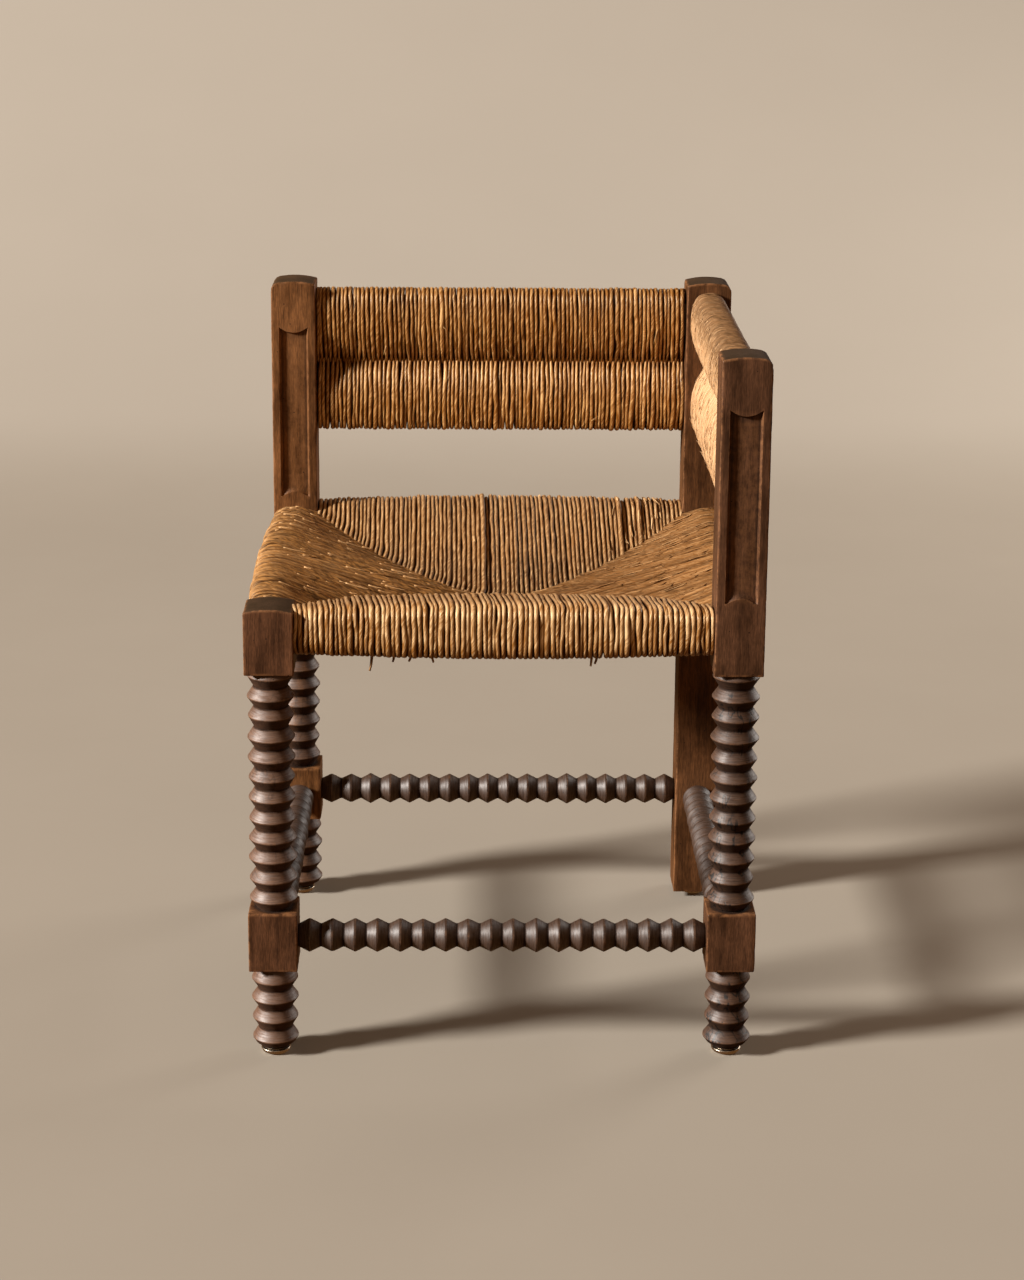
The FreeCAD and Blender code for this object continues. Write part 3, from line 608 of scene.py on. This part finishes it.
# The rail tones are kept dark as painted shade.
rail_wood, tree, shader = new_material("rail_wood")
show(tree, shader, AGED_WOOD, {
    "Grain": node(tree, "TexCoord").outputs["Object"],
    "Dark": (0.05, 0.0262, 0.0109),
    "Light": (0.12, 0.0655, 0.0294),
}, 0.4, 0.5 * MM)
for name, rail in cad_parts.items():
    if name.endswith("_rail"):
        rail.data.materials.clear()
        rail.data.materials.append(rail_wood)

# Seat
# Rush leaves twisted into cord and woven over the four rails: each cord comes up over a rail, runs in to the
# mitre and dives between its neighbours. Wear has pressed the middle into a deep hollow.

CORD_SIDES, CORD_STEP = 9, 3.2 * MM
TWIST, FIBRE_RADIUS = mm(34, 2.4)
SEAT_PITCH = 4.9 * MM
MITRE_TOP, HOLLOW_TOP, HOLLOW_UNDER = mm(451, 408, 391)
UNDER_END, UNDER_MIDDLE = mm(410, 406)
RIDGE, SEAM_STEP, END_HOOK = mm(16.5, 1.6, 1.8)
LEAN_START, LEAN_RUN = mm(6, 70)
TORN, TORN_WIDTH = 6, 20 * MM
PROUD_WIDTHS, PROUD_RISES = (1.25, 0.75), mm(1.8, -2.4)
STUFFING_POINTS, STUFFING_INSET = 44, 2.2 * MM
SPLINE_POINTS = 160
UP = (0, 0, 1)
# Offsets (outwards, up) of a cord's line from the mitre below, the middle, the rail's underside, its lower and
# upper edges and the shoulder, then of the end that dives at the mitre, in the panels over and under the seam
LINE_COUNTS = (3, 1, 1, 4, 4, 1)
LINE_OFFSETS = MM * np.array([
    (-3, 5), (-2, 2), (2, 0), (0, 0), (-38, 0), (-26, -1.5), (-10, -1), (1.2, 4), (1.5, 15),
    (1.5, -15), (1.2, -4), (-9, 1), (-22, 0), (0, 0)])
LINE_CROWN, CROWN_RISE = 12, 0.5 * MM
OVER_DIVE = MM * np.array([(1, -0.3), (-2, -2), (-3, -6)])
UNDER_DIVE = MM * np.array([(1, -0.5), (-8, -3), (-16, -8)])
SLOPE = np.array([0.14, 0.32, 0.5, 0.68, 0.84, 0.95])

RUSH_CORD, give, take = new_group("rush_cord", "Fibre", tones={
    "Deep": (0.24, 0.1076, 0.0286), "Straw": (0.5, 0.2714, 0.0966), "Pale": (0.72, 0.468, 0.2184),
    "Soil Dark": (0.055, 0.0206, 0.0034), "Soil Light": (0.41, 0.1872, 0.0554),
}, shares={
    "Tint": 0.5, "Soil_And_Shade": 0.0, "Dust": 0.0, "Crevice_Shade": 0.0,
}, results=("Roughness", "Height"))
DUST, FLECK, CREVICE_SHADE = (0.4, 0.2387, 0.1134), (0.14, 0.0608, 0.0185), (0.042, 0.0095, 0.0006)
fibre, dust = give["Fibre"], give["Dust"]
fibres = clouds(fibre, (1300, 1300, 55), 4.0, 0.65)
blotches = clouds(fibre, (160, 160, 38), 3.0, 0.6)
flecks = clouds(fibre, (800, 800, 240), 2.0, 0.6)
runs = clouds(fibre, (420, 420, 24), 3.0, 0.6)
shade = plus(times(fibres, 0.5), times(blotches, 0.55))
shade = plus(shade, times(give["Tint"], 0.28))
cord = mixed(spread(shade, 0.4, 0.74), give["Deep"], give["Straw"])
cord = mixed(spread(shade, 0.7, 1.0, 0.0, 0.85), cord, give["Pale"])
# Painted highlight: the front crown of each cord is lightened towards the pale tone.
crown = times(spread(give["Crevice_Shade"], 0.8, 0.15), spread(fibres, 0.42, 0.66, 0.0, 0.95))
cord = mixed(crown, cord, give["Pale"])
dusty = times(dust, spread(blotches, 0.25, 0.65, 0.35, 1.0))
cord = mixed(dusty, cord, DUST)
cord = mixed(times(dust, spread(flecks, 0.55, 0.68, 0.0, 0.8)), cord, FLECK)
# This share carries real ground-in dirt and also painted shade under the wraps and on the tops of the backs.
soil_and_shade_share = times(give["Soil_And_Shade"], spread(blotches, 0.3, 0.7, 0.5, 1.0))
ground_in = mixed(spread(runs, 0.43, 0.6), give["Soil Dark"], give["Soil Light"])
cord = mixed(soil_and_shade_share, cord, ground_in)
# Painted shade in the gaps between cords, darkest at each cord's sides.
cord = mixed(spread(give["Crevice_Shade"], 0.52, 0.96, 0.0, 0.97), cord, CREVICE_SHADE)
dull = times(plus(dusty, soil_and_shade_share), 0.25)
feed(take, {"Color": cord, "Roughness": plus(spread(fibres, 0.3, 0.7, 0.3, 0.46), dull), "Height": fibres})


def rush(name, deep, straw, pale, soil_and_shade, gloss):
    """Twisted leaf in three tones, with a pair of tones for ground-in dirt that also paint the shade under the
    wraps and on the tops of the backs.
    """
    material, tree, shader = new_material(name)
    show(tree, shader, RUSH_CORD, {
        "Fibre": point_field(tree, "fibre_at", "Vector"),
        **{label: point_field(tree, label.lower()) for label in ("Tint", "Soil_And_Shade", "Dust", "Crevice_Shade")},
        "Deep": deep, "Straw": straw, "Pale": pale, "Soil Dark": soil_and_shade[0], "Soil Light": soil_and_shade[1],
    }, 0.5, 0.5 * MM)
    feed(shader, {"Specular IOR Level": gloss, "Specular Tint": (1.0, 0.84, 0.6)})
    return material


seat_rush = rush(
    "seat_rush", (0.09, 0.026, 0.002), (0.3, 0.12, 0.02), (0.97, 0.67, 0.35),
    soil_and_shade=((0.1, 0.0337, 0.0042), (0.36, 0.1498, 0.0302)), gloss=0.55)
rubbed_rush = rush(
    "rubbed_rush", (0.12, 0.0431, 0.0084), (0.4, 0.1778, 0.0521), (0.75, 0.4493, 0.2016),
    soil_and_shade=((0.06, 0.0216, 0.0042), (0.15, 0.0615, 0.0147)), gloss=0.3)
dark_rush = rush(
    "dark_rush", (0.08, 0.0281, 0.005), (0.4, 0.1872, 0.0588), (0.8, 0.4867, 0.2268),
    soil_and_shade=((0.053, 0.0212, 0.0035), (0.4, 0.1876, 0.0488)), gloss=0.3)


def spline_weights(controls, count):
    """The weight of each control point at even steps along an open cubic spline."""
    knots = np.concatenate([np.zeros(3), np.arange(controls - 2), np.full(3, controls - 3)]).astype(float)
    at = np.linspace(0, controls - 3 - 1e-9, count)[:, None]
    weights = ((at >= knots[:-1]) & (at < knots[1:])).astype(float)
    for degree in (1, 2, 3):
        rise = knots[degree:-1] - knots[:-degree - 1]
        fall = knots[degree + 1:] - knots[1:-degree]
        up = np.where(rise > 0, (at - knots[:-degree - 1]) / np.where(rise > 0, rise, 1), 0)
        down = np.where(fall > 0, (knots[degree + 1:] - at) / np.where(fall > 0, fall, 1), 0)
        weights = up * weights[:, :-1] + down * weights[:, 1:]
    return weights


def path_reach(path):
    """The length along a path at each of its points."""
    return np.concatenate([[0], np.cumsum(np.linalg.norm(np.diff(path, axis=0), axis=1))])


def points_at(at, reach, path):
    return np.column_stack([np.interp(at, reach, path[:, axis]) for axis in range(3)])


def even_steps(path, step):
    """The path in even steps, and the length along it at each."""
    reach = path_reach(path)
    at = np.linspace(0, reach[-1], max(int(reach[-1] / step), 12))
    return points_at(at, reach, path), at


def wander(reach, size, length, draws):
    """A random side to side drift along a cord that changes over about length."""
    turns = draws.normal(0, size, int(reach[-1] / length) + 3)
    base = (reach / length).astype(int)
    part = ease(0, 1, reach / length - base)
    return turns[base] * (1 - part) + turns[base + 1] * part


def unit(vectors):
    return vectors / np.linalg.norm(vectors, axis=-1, keepdims=True)


def cord_tube(path, reach, side, radius, squeeze, draws):
    """A twisted cord along a path: its points, and the place of each in the run of its fibres."""
    tangent = unit(np.gradient(path, axis=0))
    normal = unit(np.cross(tangent, side))
    across = np.cross(normal, tangent)
    angle = full_turn(CORD_SIDES)
    twist = (2 * np.pi * reach / TWIST + wander(reach, 1.4, 20 * MM, draws))[:, None] + draws.uniform(0, 6)
    lumps = 1 + 0.045 * np.cos(2 * (angle - twist)) + 0.025 * np.cos(3 * angle + 0.7 * twist)
    size = radius[:, None] * lumps
    flat = (np.cos(angle) * size * squeeze[:, None])[..., None] * across[:, None]
    points = path[:, None] + flat + (np.sin(angle) * size)[..., None] * normal[:, None]
    run = np.broadcast_to(reach[:, None], size.shape)
    turn = angle - twist
    fibre = np.stack([np.cos(turn) * FIBRE_RADIUS, np.sin(turn) * FIBRE_RADIUS, run], axis=-1)
    # How far round to its side each point of a cord lies, for the painted shade between cords.
    crevice_shade = np.broadcast_to(np.abs(np.cos(angle)), size.shape)
    return points, fibre + draws.uniform(0, 3, 3), crevice_shade


class Bundle:
    """Cords that are collected into one piece."""

    def __init__(self):
        self.points, self.faces, self.count = [], [], 0
        self.fields = {label: [] for label in ("fibre_at", "tint", "soil_and_shade", "dust", "crevice_shade")}

    def add(self, points, fibre, crevice_shade, tint, soil_and_shade, dust):
        rows, sides = points.shape[:2]
        self.faces += tube_faces(rows, sides, self.count)
        self.count += rows * sides
        self.points.append(points.reshape(-1, 3))
        self.fields["fibre_at"].append(fibre.reshape(-1, 3))
        self.fields["crevice_shade"].append(crevice_shade.ravel())
        for label, values in (("tint", tint), ("soil_and_shade", soil_and_shade), ("dust", dust)):
            self.fields[label].append(np.repeat(np.broadcast_to(values, rows), sides))

    def add_core(self, core):
        """Dark stuffing behind the cords, its near-black colour painted shade, so that no light shows between
        them.
        """
        self.add(core, core, np.ones(core.shape[:2]), 0.0, 1.0, 0.0)

    def piece(self, name, material, replaced):
        fields = {label: np.concatenate(values) for label, values in self.fields.items()}
        new_piece(name, np.concatenate(self.points), self.faces, material, replaced, fields)


def cord_places(length, pitch, draws):
    """Middles and widths of the cords laid side by side over a length."""
    widths = np.clip(draws.normal(1, 0.14, round(length / pitch)), 0.7, 1.4)
    widths *= length / widths.sum()
    return np.cumsum(widths) - widths / 2 - length / 2, widths


def fray(bundle, path, start, along, up, half, slant, draws, longest=6, coarse=1.0):
    """A broken sliver of leaf that has lifted from a cord, with its tip free."""
    count = draws.integers(3, longest)
    run = np.linspace(0, 1, count)
    stretch = path[start:start + count]
    if len(stretch) < count:
        return
    lift = half * 0.97 + draws.uniform(0.3, 2.0) * MM * run ** 2
    sideways = (slant + draws.normal(0, 1.4 * MM)) * run
    line = stretch + lift[:, None] * np.array(up) + sideways[:, None] * along
    reach = run * CORD_STEP * (count - 1)
    radius = draws.uniform(0.22, 0.52) * coarse * MM * (1.05 - run) ** 0.5
    points, fibre, crevice_shade = cord_tube(line, reach, along, radius, np.full(count, 1.3), draws)
    bundle.add(points, fibre, crevice_shade * 0, draws.uniform(0.0, 2.0), draws.uniform(0, 0.6), 0.2)


def loose_end(bundle, x, drop, seed):
    """The cut end of a cord that hangs from under the front rail."""
    draws = np.random.default_rng(seed)
    start = np.array(Vector((x, -corner_high.y + 20 * MM, UNDER_MIDDLE + 3 * MM)))
    run = np.linspace(0, 1, 8)
    sideways = draws.normal(0, 2 * MM) * run ** 2
    path = start + np.column_stack([sideways, -4 * MM * run, -(drop + 4 * MM) * run])
    radius = 1.5 * MM * (1 - 0.35 * run)
    points, fibre, crevice_shade = cord_tube(path, run * drop, np.array([1.0, 0, 0]), radius, np.ones(8), draws)
    bundle.add(points, fibre, crevice_shade * 0.6, 0.0, 0.8, 0.0)


def weave_panel(name, material, turn, bow, crest, flat_top, dish, skew, sway, frays, seed,
                crevice_shade_strength=1.0, soil_and_shade=0.0, dust=0.0, snug=0.95, slant=0.0, slipped=(), torn=None,
                longest=6, coarse=1.0, ends=()):
    """One panel: cords that run from the mitre below, round the rail, to the mitre above."""
    draws = np.random.default_rng(seed)
    over = turn % 180 == 0
    length, across, tip, ridge = (CLEAR_X, CLEAR_Y, 0, RIDGE) if over else (CLEAR_Y, CLEAR_X, RIDGE, 0)
    corner = across / 2
    reach_out = max(abs(limit[1 if over else 0]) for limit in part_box(name))
    spin = math.radians(turn)
    along = np.array([math.cos(spin), math.sin(spin), 0.0])
    outwards = np.array([math.sin(spin), -math.cos(spin), 0.0])

    def drift(depth):
        inside = np.clip(reach_out - LEAN_START - depth, 0, None)
        return skew * LEAN_RUN * (1 - np.exp(-inside / LEAN_RUN))

    bundle = Bundle()
    places, widths = cord_places(length, SEAT_PITCH, draws)
    rises = draws.normal(0, 0.5 * MM, len(places))
    for loose in slipped:
        proud = np.argmin(np.abs(places - loose))
        widths[[proud, proud - 1]] *= PROUD_WIDTHS
        rises[[proud, proud - 1]] += PROUD_RISES
    stuffing = []
    for place, width, rise in zip(places, widths, rises):
        half = width / 2
        crown = 1 - (2 * place / length) ** 2
        top = crest[0] + (crest[1] - crest[0]) * crown - half + rise
        under = UNDER_END + (UNDER_MIDDLE - UNDER_END) * crown + half
        out = reach_out - half + bow * crown + draws.normal(0, 0.5 * MM)
        mitre = corner
        for _ in range(6):
            share = np.clip((abs(place + drift(mitre)) - ridge) / (length / 2 - ridge), 0, 1)
            mitre = tip + (corner - tip) * share
        seam = HOLLOW_TOP + (MITRE_TOP - HOLLOW_TOP) * share ** 2.3 - half + 0.6 * rise
        below = UNDER_END + (HOLLOW_UNDER - UNDER_END) * (1 - share) + half
        inner = reach_out - min(flat_top, 0.55 * (reach_out - mitre))
        shoulder_height = top - 1.5 * MM * crown
        middle = (mitre + 0.5 * (inner - mitre), below + 0.5 * (under - below))
        marks = [(mitre, below), middle, (reach_out, under), (out, under), (out, top), (inner, shoulder_height)]
        line = np.repeat(marks, LINE_COUNTS, axis=0) + LINE_OFFSETS
        line[LINE_CROWN, 1] += CROWN_RISE * crown
        if not over:
            seam -= SEAM_STEP
        run_in = [(inner + (mitre - inner) * step, seam + (shoulder_height - seam) * (1 - step) ** dish)
                  for step in SLOPE]
        controls = np.concatenate([line, run_in, (mitre, seam) + (OVER_DIVE if over else UNDER_DIVE)])
        flat = spline_weights(len(controls), SPLINE_POINTS) @ controls
        path = flat[:, :1] * outwards + flat[:, 1:] * UP + place * along
        path, reach = even_steps(path, CORD_STEP)
        depth = path @ outwards
        outermost = np.argmax(depth)
        above = np.arange(len(path)) > outermost
        hook = END_HOOK * above * (place > 0) * ease(mitre + 16 * MM, mitre, depth)
        lean = draws.normal(0, 0.002) * (reach_out - depth)
        side = np.where(above, 1, -1) * drift(depth) + hook + lean + wander(reach, sway, 19 * MM, draws)
        path = path + side[:, None] * along
        stuffing.append(points_at(np.linspace(0, reach[-1], STUFFING_POINTS), reach, path))
        radius = half * (snug + wander(reach, 0.065, 14 * MM, draws))
        points, fibre, crevice_shade = cord_tube(path, reach, along, radius, np.ones(len(path)), draws)
        overlay_share = dust * above * ease(reach_out - 4 * MM, reach_out - 20 * MM, depth)
        overlay_share *= 0.35 + 0.65 * ease(0, 150 * MM, depth)
        bare = draws.uniform(0, 0.8) ** 2 * ease(0.5 * reach_out, 0.85 * reach_out, depth)
        # Soil is real on the worn panels; near the rail's underside the cords are darkened as painted shade.
        soil_and_under_shade = np.where(above, soil_and_shade * (1 - bare) * ease(reach_out + 8 * MM, reach_out - 3 * MM, depth),
                        0.25 * ease(under + 24 * MM, under + 2 * MM, path[:, 2]))
        # Painted highlight: the cords are lightened towards the outer face of the rail.
        nose_highlight = ease(reach_out - 30 * MM, reach_out - 8 * MM, depth)
        tint = draws.uniform(0.15, 0.8) + 0.5 * (1 - soil_and_shade) * nose_highlight
        # Painted shade: the cords darken as they turn under the rail.
        tint = tint - 0.6 * ease(under + 22 * MM, under + 2 * MM, path[:, 2])
        bundle.add(points, fibre, crevice_shade * crevice_shade_strength, tint, soil_and_under_shade, overlay_share)
        broken = frays if torn is None else frays + TORN * math.exp(-((place - torn) / TORN_WIDTH) ** 2)
        for _ in range(draws.poisson(broken)):
            start = draws.integers(outermost + 4, len(path))
            fray(bundle, path, start, along, UP, half, slant, draws, longest, coarse)
    core = np.array(stuffing)
    inwards = unit(np.cross(np.gradient(core, axis=1), along))
    bundle.add_core(core + inwards * STUFFING_INSET)
    for number, (x, drop) in enumerate(ends):
        loose_end(bundle, x * MM, drop * MM, 60 + number)
    bundle.piece(name + "_cords", material, [name])


LOOSE_ENDS = ((-125, 11), (-104, 2), (-88, 1.5), (-68, 2.5), (83, 6), (88, 3.5))
SIDE = dict(crest=mm(455, 457), flat_top=27 * MM, dish=1.12, skew=-0.05, sway=0.3 * MM)
weave_panel("front_seat_rush", seat_rush, turn=0, bow=2 * MM, crest=mm(456, 461), flat_top=56 * MM,
            dish=1.6, skew=-0.17, sway=0.45 * MM, dust=0.9, frays=0.1, seed=41, snug=1.06, ends=LOOSE_ENDS)
weave_panel("rear_seat_rush", seat_rush, turn=180, bow=2 * MM, crest=mm(456, 460), flat_top=40 * MM,
            dish=1.35, skew=-0.04, sway=0.24 * MM, dust=0.45, frays=0.12, seed=42,
            slipped=mm(20, -128, -150), torn=-155 * MM, longest=9, coarse=2.4)
weave_panel("right_seat_rush", rubbed_rush, turn=90, bow=4 * MM, **SIDE, crevice_shade_strength=0.65, soil_and_shade=0.92, frays=3.0,
            seed=43, slant=-3 * MM, longest=11, coarse=1.3)
weave_panel("left_seat_rush", dark_rush, turn=270, bow=5 * MM, **SIDE, crevice_shade_strength=0.84, soil_and_shade=0.95, dust=0.1,
            frays=1.4, seed=44, longest=10, coarse=2.0)

# Backs
# One long rush cord is wound in a figure eight over the two rails of each back, turn beside turn, so that it
# swells over each rail and pinches in where the turns cross.

BACK_PITCH = 4.6 * MM
TURN_POINTS = 108
WAIST = 75 * MM
UPPER_SWELL, LOWER_SWELL = mm(16.2, 14.2)
CORE_SIDES, WAIST_CORE = 24, 1.0 * MM
back_rush = rush(
    "back_rush", (0.08, 0.021, 0.0012), (0.26, 0.092, 0.009), (0.97, 0.6, 0.25),
    soil_and_shade=((0.07, 0.0281, 0.0067), (0.2, 0.0936, 0.0302)), gloss=0.55)
side_rush = rush(
    "side_rush", (0.24, 0.1056, 0.0336), (0.54, 0.301, 0.132), (0.8, 0.53, 0.3),
    soil_and_shade=((0.07, 0.03, 0.009), (0.21, 0.105, 0.042)), gloss=0.35)


def ring_spline(controls, count):
    """Places along a closed cubic spline round its control points."""
    at = np.linspace(0, len(controls), count, endpoint=False)
    base = np.floor(at).astype(int)
    part = (at - base)[:, None]
    ways = (((1 - part) ** 3, -1), (3 * part ** 3 - 6 * part ** 2 + 4, 0),
            (-3 * part ** 3 + 3 * part ** 2 + 3 * part + 1, 1), (part ** 3, 2))
    return sum(weight * controls[(base + step) % len(controls)] for weight, step in ways) / 6


def wind_back(name, along, inwards, material, crevice_shade_strength, tone, dust, top_shade, frays, seed):
    low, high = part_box(name)
    draws = np.random.default_rng(seed)
    along, inwards = np.array(along, float), np.array(inwards, float)
    length = abs(np.array(high - low) @ along)
    waist = low.z + WAIST
    origin = np.array((low + high) / 2) * (1, 1, 0) + (0, 0, waist)
    up, down = high.z - waist - 2.4 * MM, waist - low.z - 2.4 * MM
    eight = []
    for lobe, reach, sign in ((UPPER_SWELL, up, 1), (LOWER_SWELL, -down, -1)):
        eight.append([(0, reach + 2.2 * MM * sign), (0.8 * lobe * sign, reach + 0.6 * MM * sign),
                      (1.06 * lobe * sign, 0.76 * reach), (1.06 * lobe * sign, 0.44 * reach),
                      (0.5 * lobe * sign, 0.12 * reach)])
    upper_lobe, lower_lobe = eight
    loop = upper_lobe + lower_lobe[:0:-1] + lower_lobe[:1]
    loop += [(-out, rise) for out, rise in lower_lobe[1:] + upper_lobe[:0:-1]]
    shape = ring_spline(np.array(loop), TURN_POINTS)
    places, widths = cord_places(length, BACK_PITCH, draws)
    turns = len(places)
    travel = np.arange(turns * TURN_POINTS) / TURN_POINTS
    x = np.interp(travel, np.arange(turns) + 0.5, places)
    half = np.interp(travel, np.arange(turns) + 0.5, widths) / 2
    lift = np.interp(travel, np.arange(turns * 4) / 4, draws.normal(0, 0.35 * MM, turns * 4))
    out, rise = np.tile(shape, (turns, 1)).T
    swell = out * (1 + lift / (16 * MM))
    path = origin + x[:, None] * along + swell[:, None] * inwards + rise[:, None] * UP
    reach = path_reach(path)
    path = path + wander(reach, 0.42 * MM, 20 * MM, draws)[:, None] * along
    radius = half * (1.0 + wander(reach, 0.07, 13 * MM, draws))
    squeeze = 0.7 + 0.3 * ease(2 * MM, 12 * MM, np.abs(rise))
    points, fibre, crevice_shade = cord_tube(path, reach, along, radius, squeeze, draws)
    tint = np.interp(travel, np.arange(turns * 2) / 2, draws.uniform(0, 1, turns * 2))
    bundle = Bundle()
    # Painted shade: the upper part of the upper lobe is darkened through the soil share and a lower tint.
    soil_and_shade_share = top_shade * ease(0.5 * up, 0.92 * up, rise)
    bundle.add(points, fibre, crevice_shade * crevice_shade_strength, tint + tone - soil_and_shade_share, soil_and_shade_share, dust)
    for start in draws.integers(0, len(path), round(frays * turns)):
        if out[start] > 0.5 * LOWER_SWELL:
            fray(bundle, path, start, along, inwards, half[start], draws.normal(0, 3 * MM), draws)
    # Near-black cores inside the two lobes and at the waist, coloured as painted shade.
    turn = full_turn(CORE_SIDES)
    for thick, middle, tall in ((0.8 * UPPER_SWELL, 0.57 * up, 0.38 * up),
                                (0.8 * LOWER_SWELL, -0.57 * down, 0.38 * down), (WAIST_CORE, 0.0, 0.25 * down)):
        height = middle + tall * np.sin(turn)
        ring = thick * np.cos(turn)[:, None] * inwards + origin + height[:, None] * UP
        bundle.add_core(np.stack([ring - length / 2 * along, ring + length / 2 * along]))
    bundle.piece(name + "_cord", material, [name])


wind_back("rear_back_rush", (1, 0, 0), (0, -1, 0), back_rush,
          crevice_shade_strength=1.0, tone=0.1, dust=0.0, top_shade=0.1, frays=0.3, seed=51)
wind_back("side_back_rush", (0, 1, 0), (-1, 0, 0), side_rush,
          crevice_shade_strength=0.85, tone=0.6, dust=0.3, top_shade=0.95, frays=14.0, seed=52)

# Stage
# A pale seamless sweep that fades with distance into an even surround, so every side of the chair is framed.
# A large warm light stands far off to the left and a little in front, and two weak ones in front and behind.

SWEEP_HALF, SWEEP_FRONT, SWEEP_BACK, SWEEP_TOP, SWEEP_BEND = 14.0, -14.0, 5.7, 8.0, 4.0
FADE_START, FADE_END = 3.0, 7.5
PAINT_BLEND = 0.07
SURROUND_RADIUS, SURROUND_FOOT, SURROUND_TOP, SURROUND_SIDES = 14.0, -0.01, 16.0, 64
SURROUND_TONE, BLACK = (0.5, 0.41, 0.315), (0.0, 0.0, 0.0)


def backdrop(name, points, faces, paint):
    """A mesh behind the chair that throws no light back on it."""
    piece = new_object(name, new_mesh(name, points, faces, paint))
    piece.visible_diffuse = False
    piece.visible_glossy = False
    return piece


sweep_paint, tree, shader = new_material("sweep_paint")
place = node(tree, "TexCoord").outputs["Object"]
grain = clouds(place, (3, 3, 3), 4.0)
upright = node(tree, "SeparateXYZ", {0: place}).outputs["Z"]
distance = node(tree, "VectorMath", {0: place}, operation="LENGTH").outputs["Value"]
faded = spread(distance, FADE_START, FADE_END)
floor_paint = mixed(grain, (0.36, 0.3229, 0.2688), (0.39, 0.351, 0.294))
wall_paint = mixed(grain, (0.43, 0.3931, 0.336), (0.45, 0.4118, 0.3528))
paint = mixed(spread(upright, 0.0, PAINT_BLEND), floor_paint, wall_paint)
feed(shader, {
    "Base Color": mixed(faded, paint, BLACK),
    "Emission Color": mixed(faded, BLACK, SURROUND_TONE),
    "Emission Strength": 1.0,
    "Roughness": 1.0,
    "Specular IOR Level": 0.0,
})
bend = np.radians(np.linspace(0, 90, 33))
bend_start = SWEEP_BACK - SWEEP_BEND
profile = [(SWEEP_FRONT, 0.0)]
profile += [(bend_start + SWEEP_BEND * math.sin(lean), SWEEP_BEND * (1 - math.cos(lean))) for lean in bend]
profile.append((SWEEP_BACK, SWEEP_TOP))
sweep_points = [(x, y, z) for y, z in profile for x in (-SWEEP_HALF, SWEEP_HALF)]
sweep_faces = [(2 * row, 2 * row + 1, 2 * row + 3, 2 * row + 2) for row in range(len(profile) - 1)]
sweep = backdrop("sweep", sweep_points, sweep_faces, sweep_paint)
sweep.data.shade_smooth()

surround_paint, _, shader = new_material("surround_paint")
feed(shader, {"Base Color": BLACK, "Specular IOR Level": 0.0, "Emission Color": SURROUND_TONE,
              "Emission Strength": 1.0})
turn = full_turn(SURROUND_SIDES)
circle = np.column_stack([SURROUND_RADIUS * np.cos(turn), SURROUND_RADIUS * np.sin(turn)]).tolist()
surround_points = [(*spot, height) for height in (SURROUND_FOOT, SURROUND_TOP) for spot in circle]
surround_faces = [face[::-1] for face in tube_faces(2, SURROUND_SIDES)[:-2]]
surround = backdrop("surround", surround_points, surround_faces, surround_paint)
surround.visible_shadow = False

CHAIR_MIDDLE = Vector((0, 0, 0.4))
KEY_TURN, KEY_HEIGHT, KEY_DISTANCE = math.radians(199), math.radians(24.5), 18.0
DAYLIGHT, LAMPLIGHT, ROOM_TONE = (1.0, 0.94, 0.88), (1.0, 0.84, 0.66), (1.0, 0.48, 0.18)


def area_light(name, place, size, power, colour):
    lamp = bpy.data.lights.new(name, "AREA")
    lamp.shape, lamp.size = "DISK", size
    lamp.energy, lamp.color = power, colour
    light = new_object(name, lamp)
    light.location = place
    light.rotation_mode = "QUATERNION"
    light.rotation_quaternion = (CHAIR_MIDDLE - Vector(place)).to_track_quat("-Z", "Y")
    light.visible_camera = False


key_way = Vector((math.cos(KEY_TURN) * math.cos(KEY_HEIGHT), math.sin(KEY_TURN) * math.cos(KEY_HEIGHT),
                  math.sin(KEY_HEIGHT)))
area_light("key", CHAIR_MIDDLE + key_way * KEY_DISTANCE, size=3.2, power=6850, colour=DAYLIGHT)
area_light("fill", (0.6, -3.2, 1.9), size=2.4, power=4, colour=LAMPLIGHT)
area_light("back_fill", (3.2, 2.4, 1.4), size=2.0, power=75, colour=DAYLIGHT)
world = bpy.data.worlds.new("room")
world.use_nodes = True
feed(world.node_tree.nodes["Background"].inputs, {"Color": ROOM_TONE, "Strength": 0.15})
scene.world = world
scene.view_settings.view_transform = "Standard"

# Camera
# It stands at the photograph's place, in front of the chair and a little above it, and looks down. A small
# shift sets the chair where the picture has it.

PHOTO_LONG_SIDE, FOCAL_PIXELS = 1280, 2657.52
CAMERA_PLACE = mm(-33.1, -2612.1, 1165.0)
CAMERA_TURN, CAMERA_PITCH, CAMERA_ROLL = -0.0165, 0.251, 0.0076
CAMERA_SHIFT = -0.1
camera_data = bpy.data.cameras.new("camera")
camera_data.lens = camera_data.sensor_width * FOCAL_PIXELS / PHOTO_LONG_SIDE
camera_data.shift_y = CAMERA_SHIFT
camera = new_object("camera", camera_data)
aimed = Matrix.Rotation(CAMERA_TURN, 4, "Z") @ Matrix.Rotation(math.pi / 2 - CAMERA_PITCH, 4, "X")
camera.matrix_world = Matrix.Translation(CAMERA_PLACE) @ aimed @ Matrix.Rotation(CAMERA_ROLL, 4, "Z")
scene.camera = camera
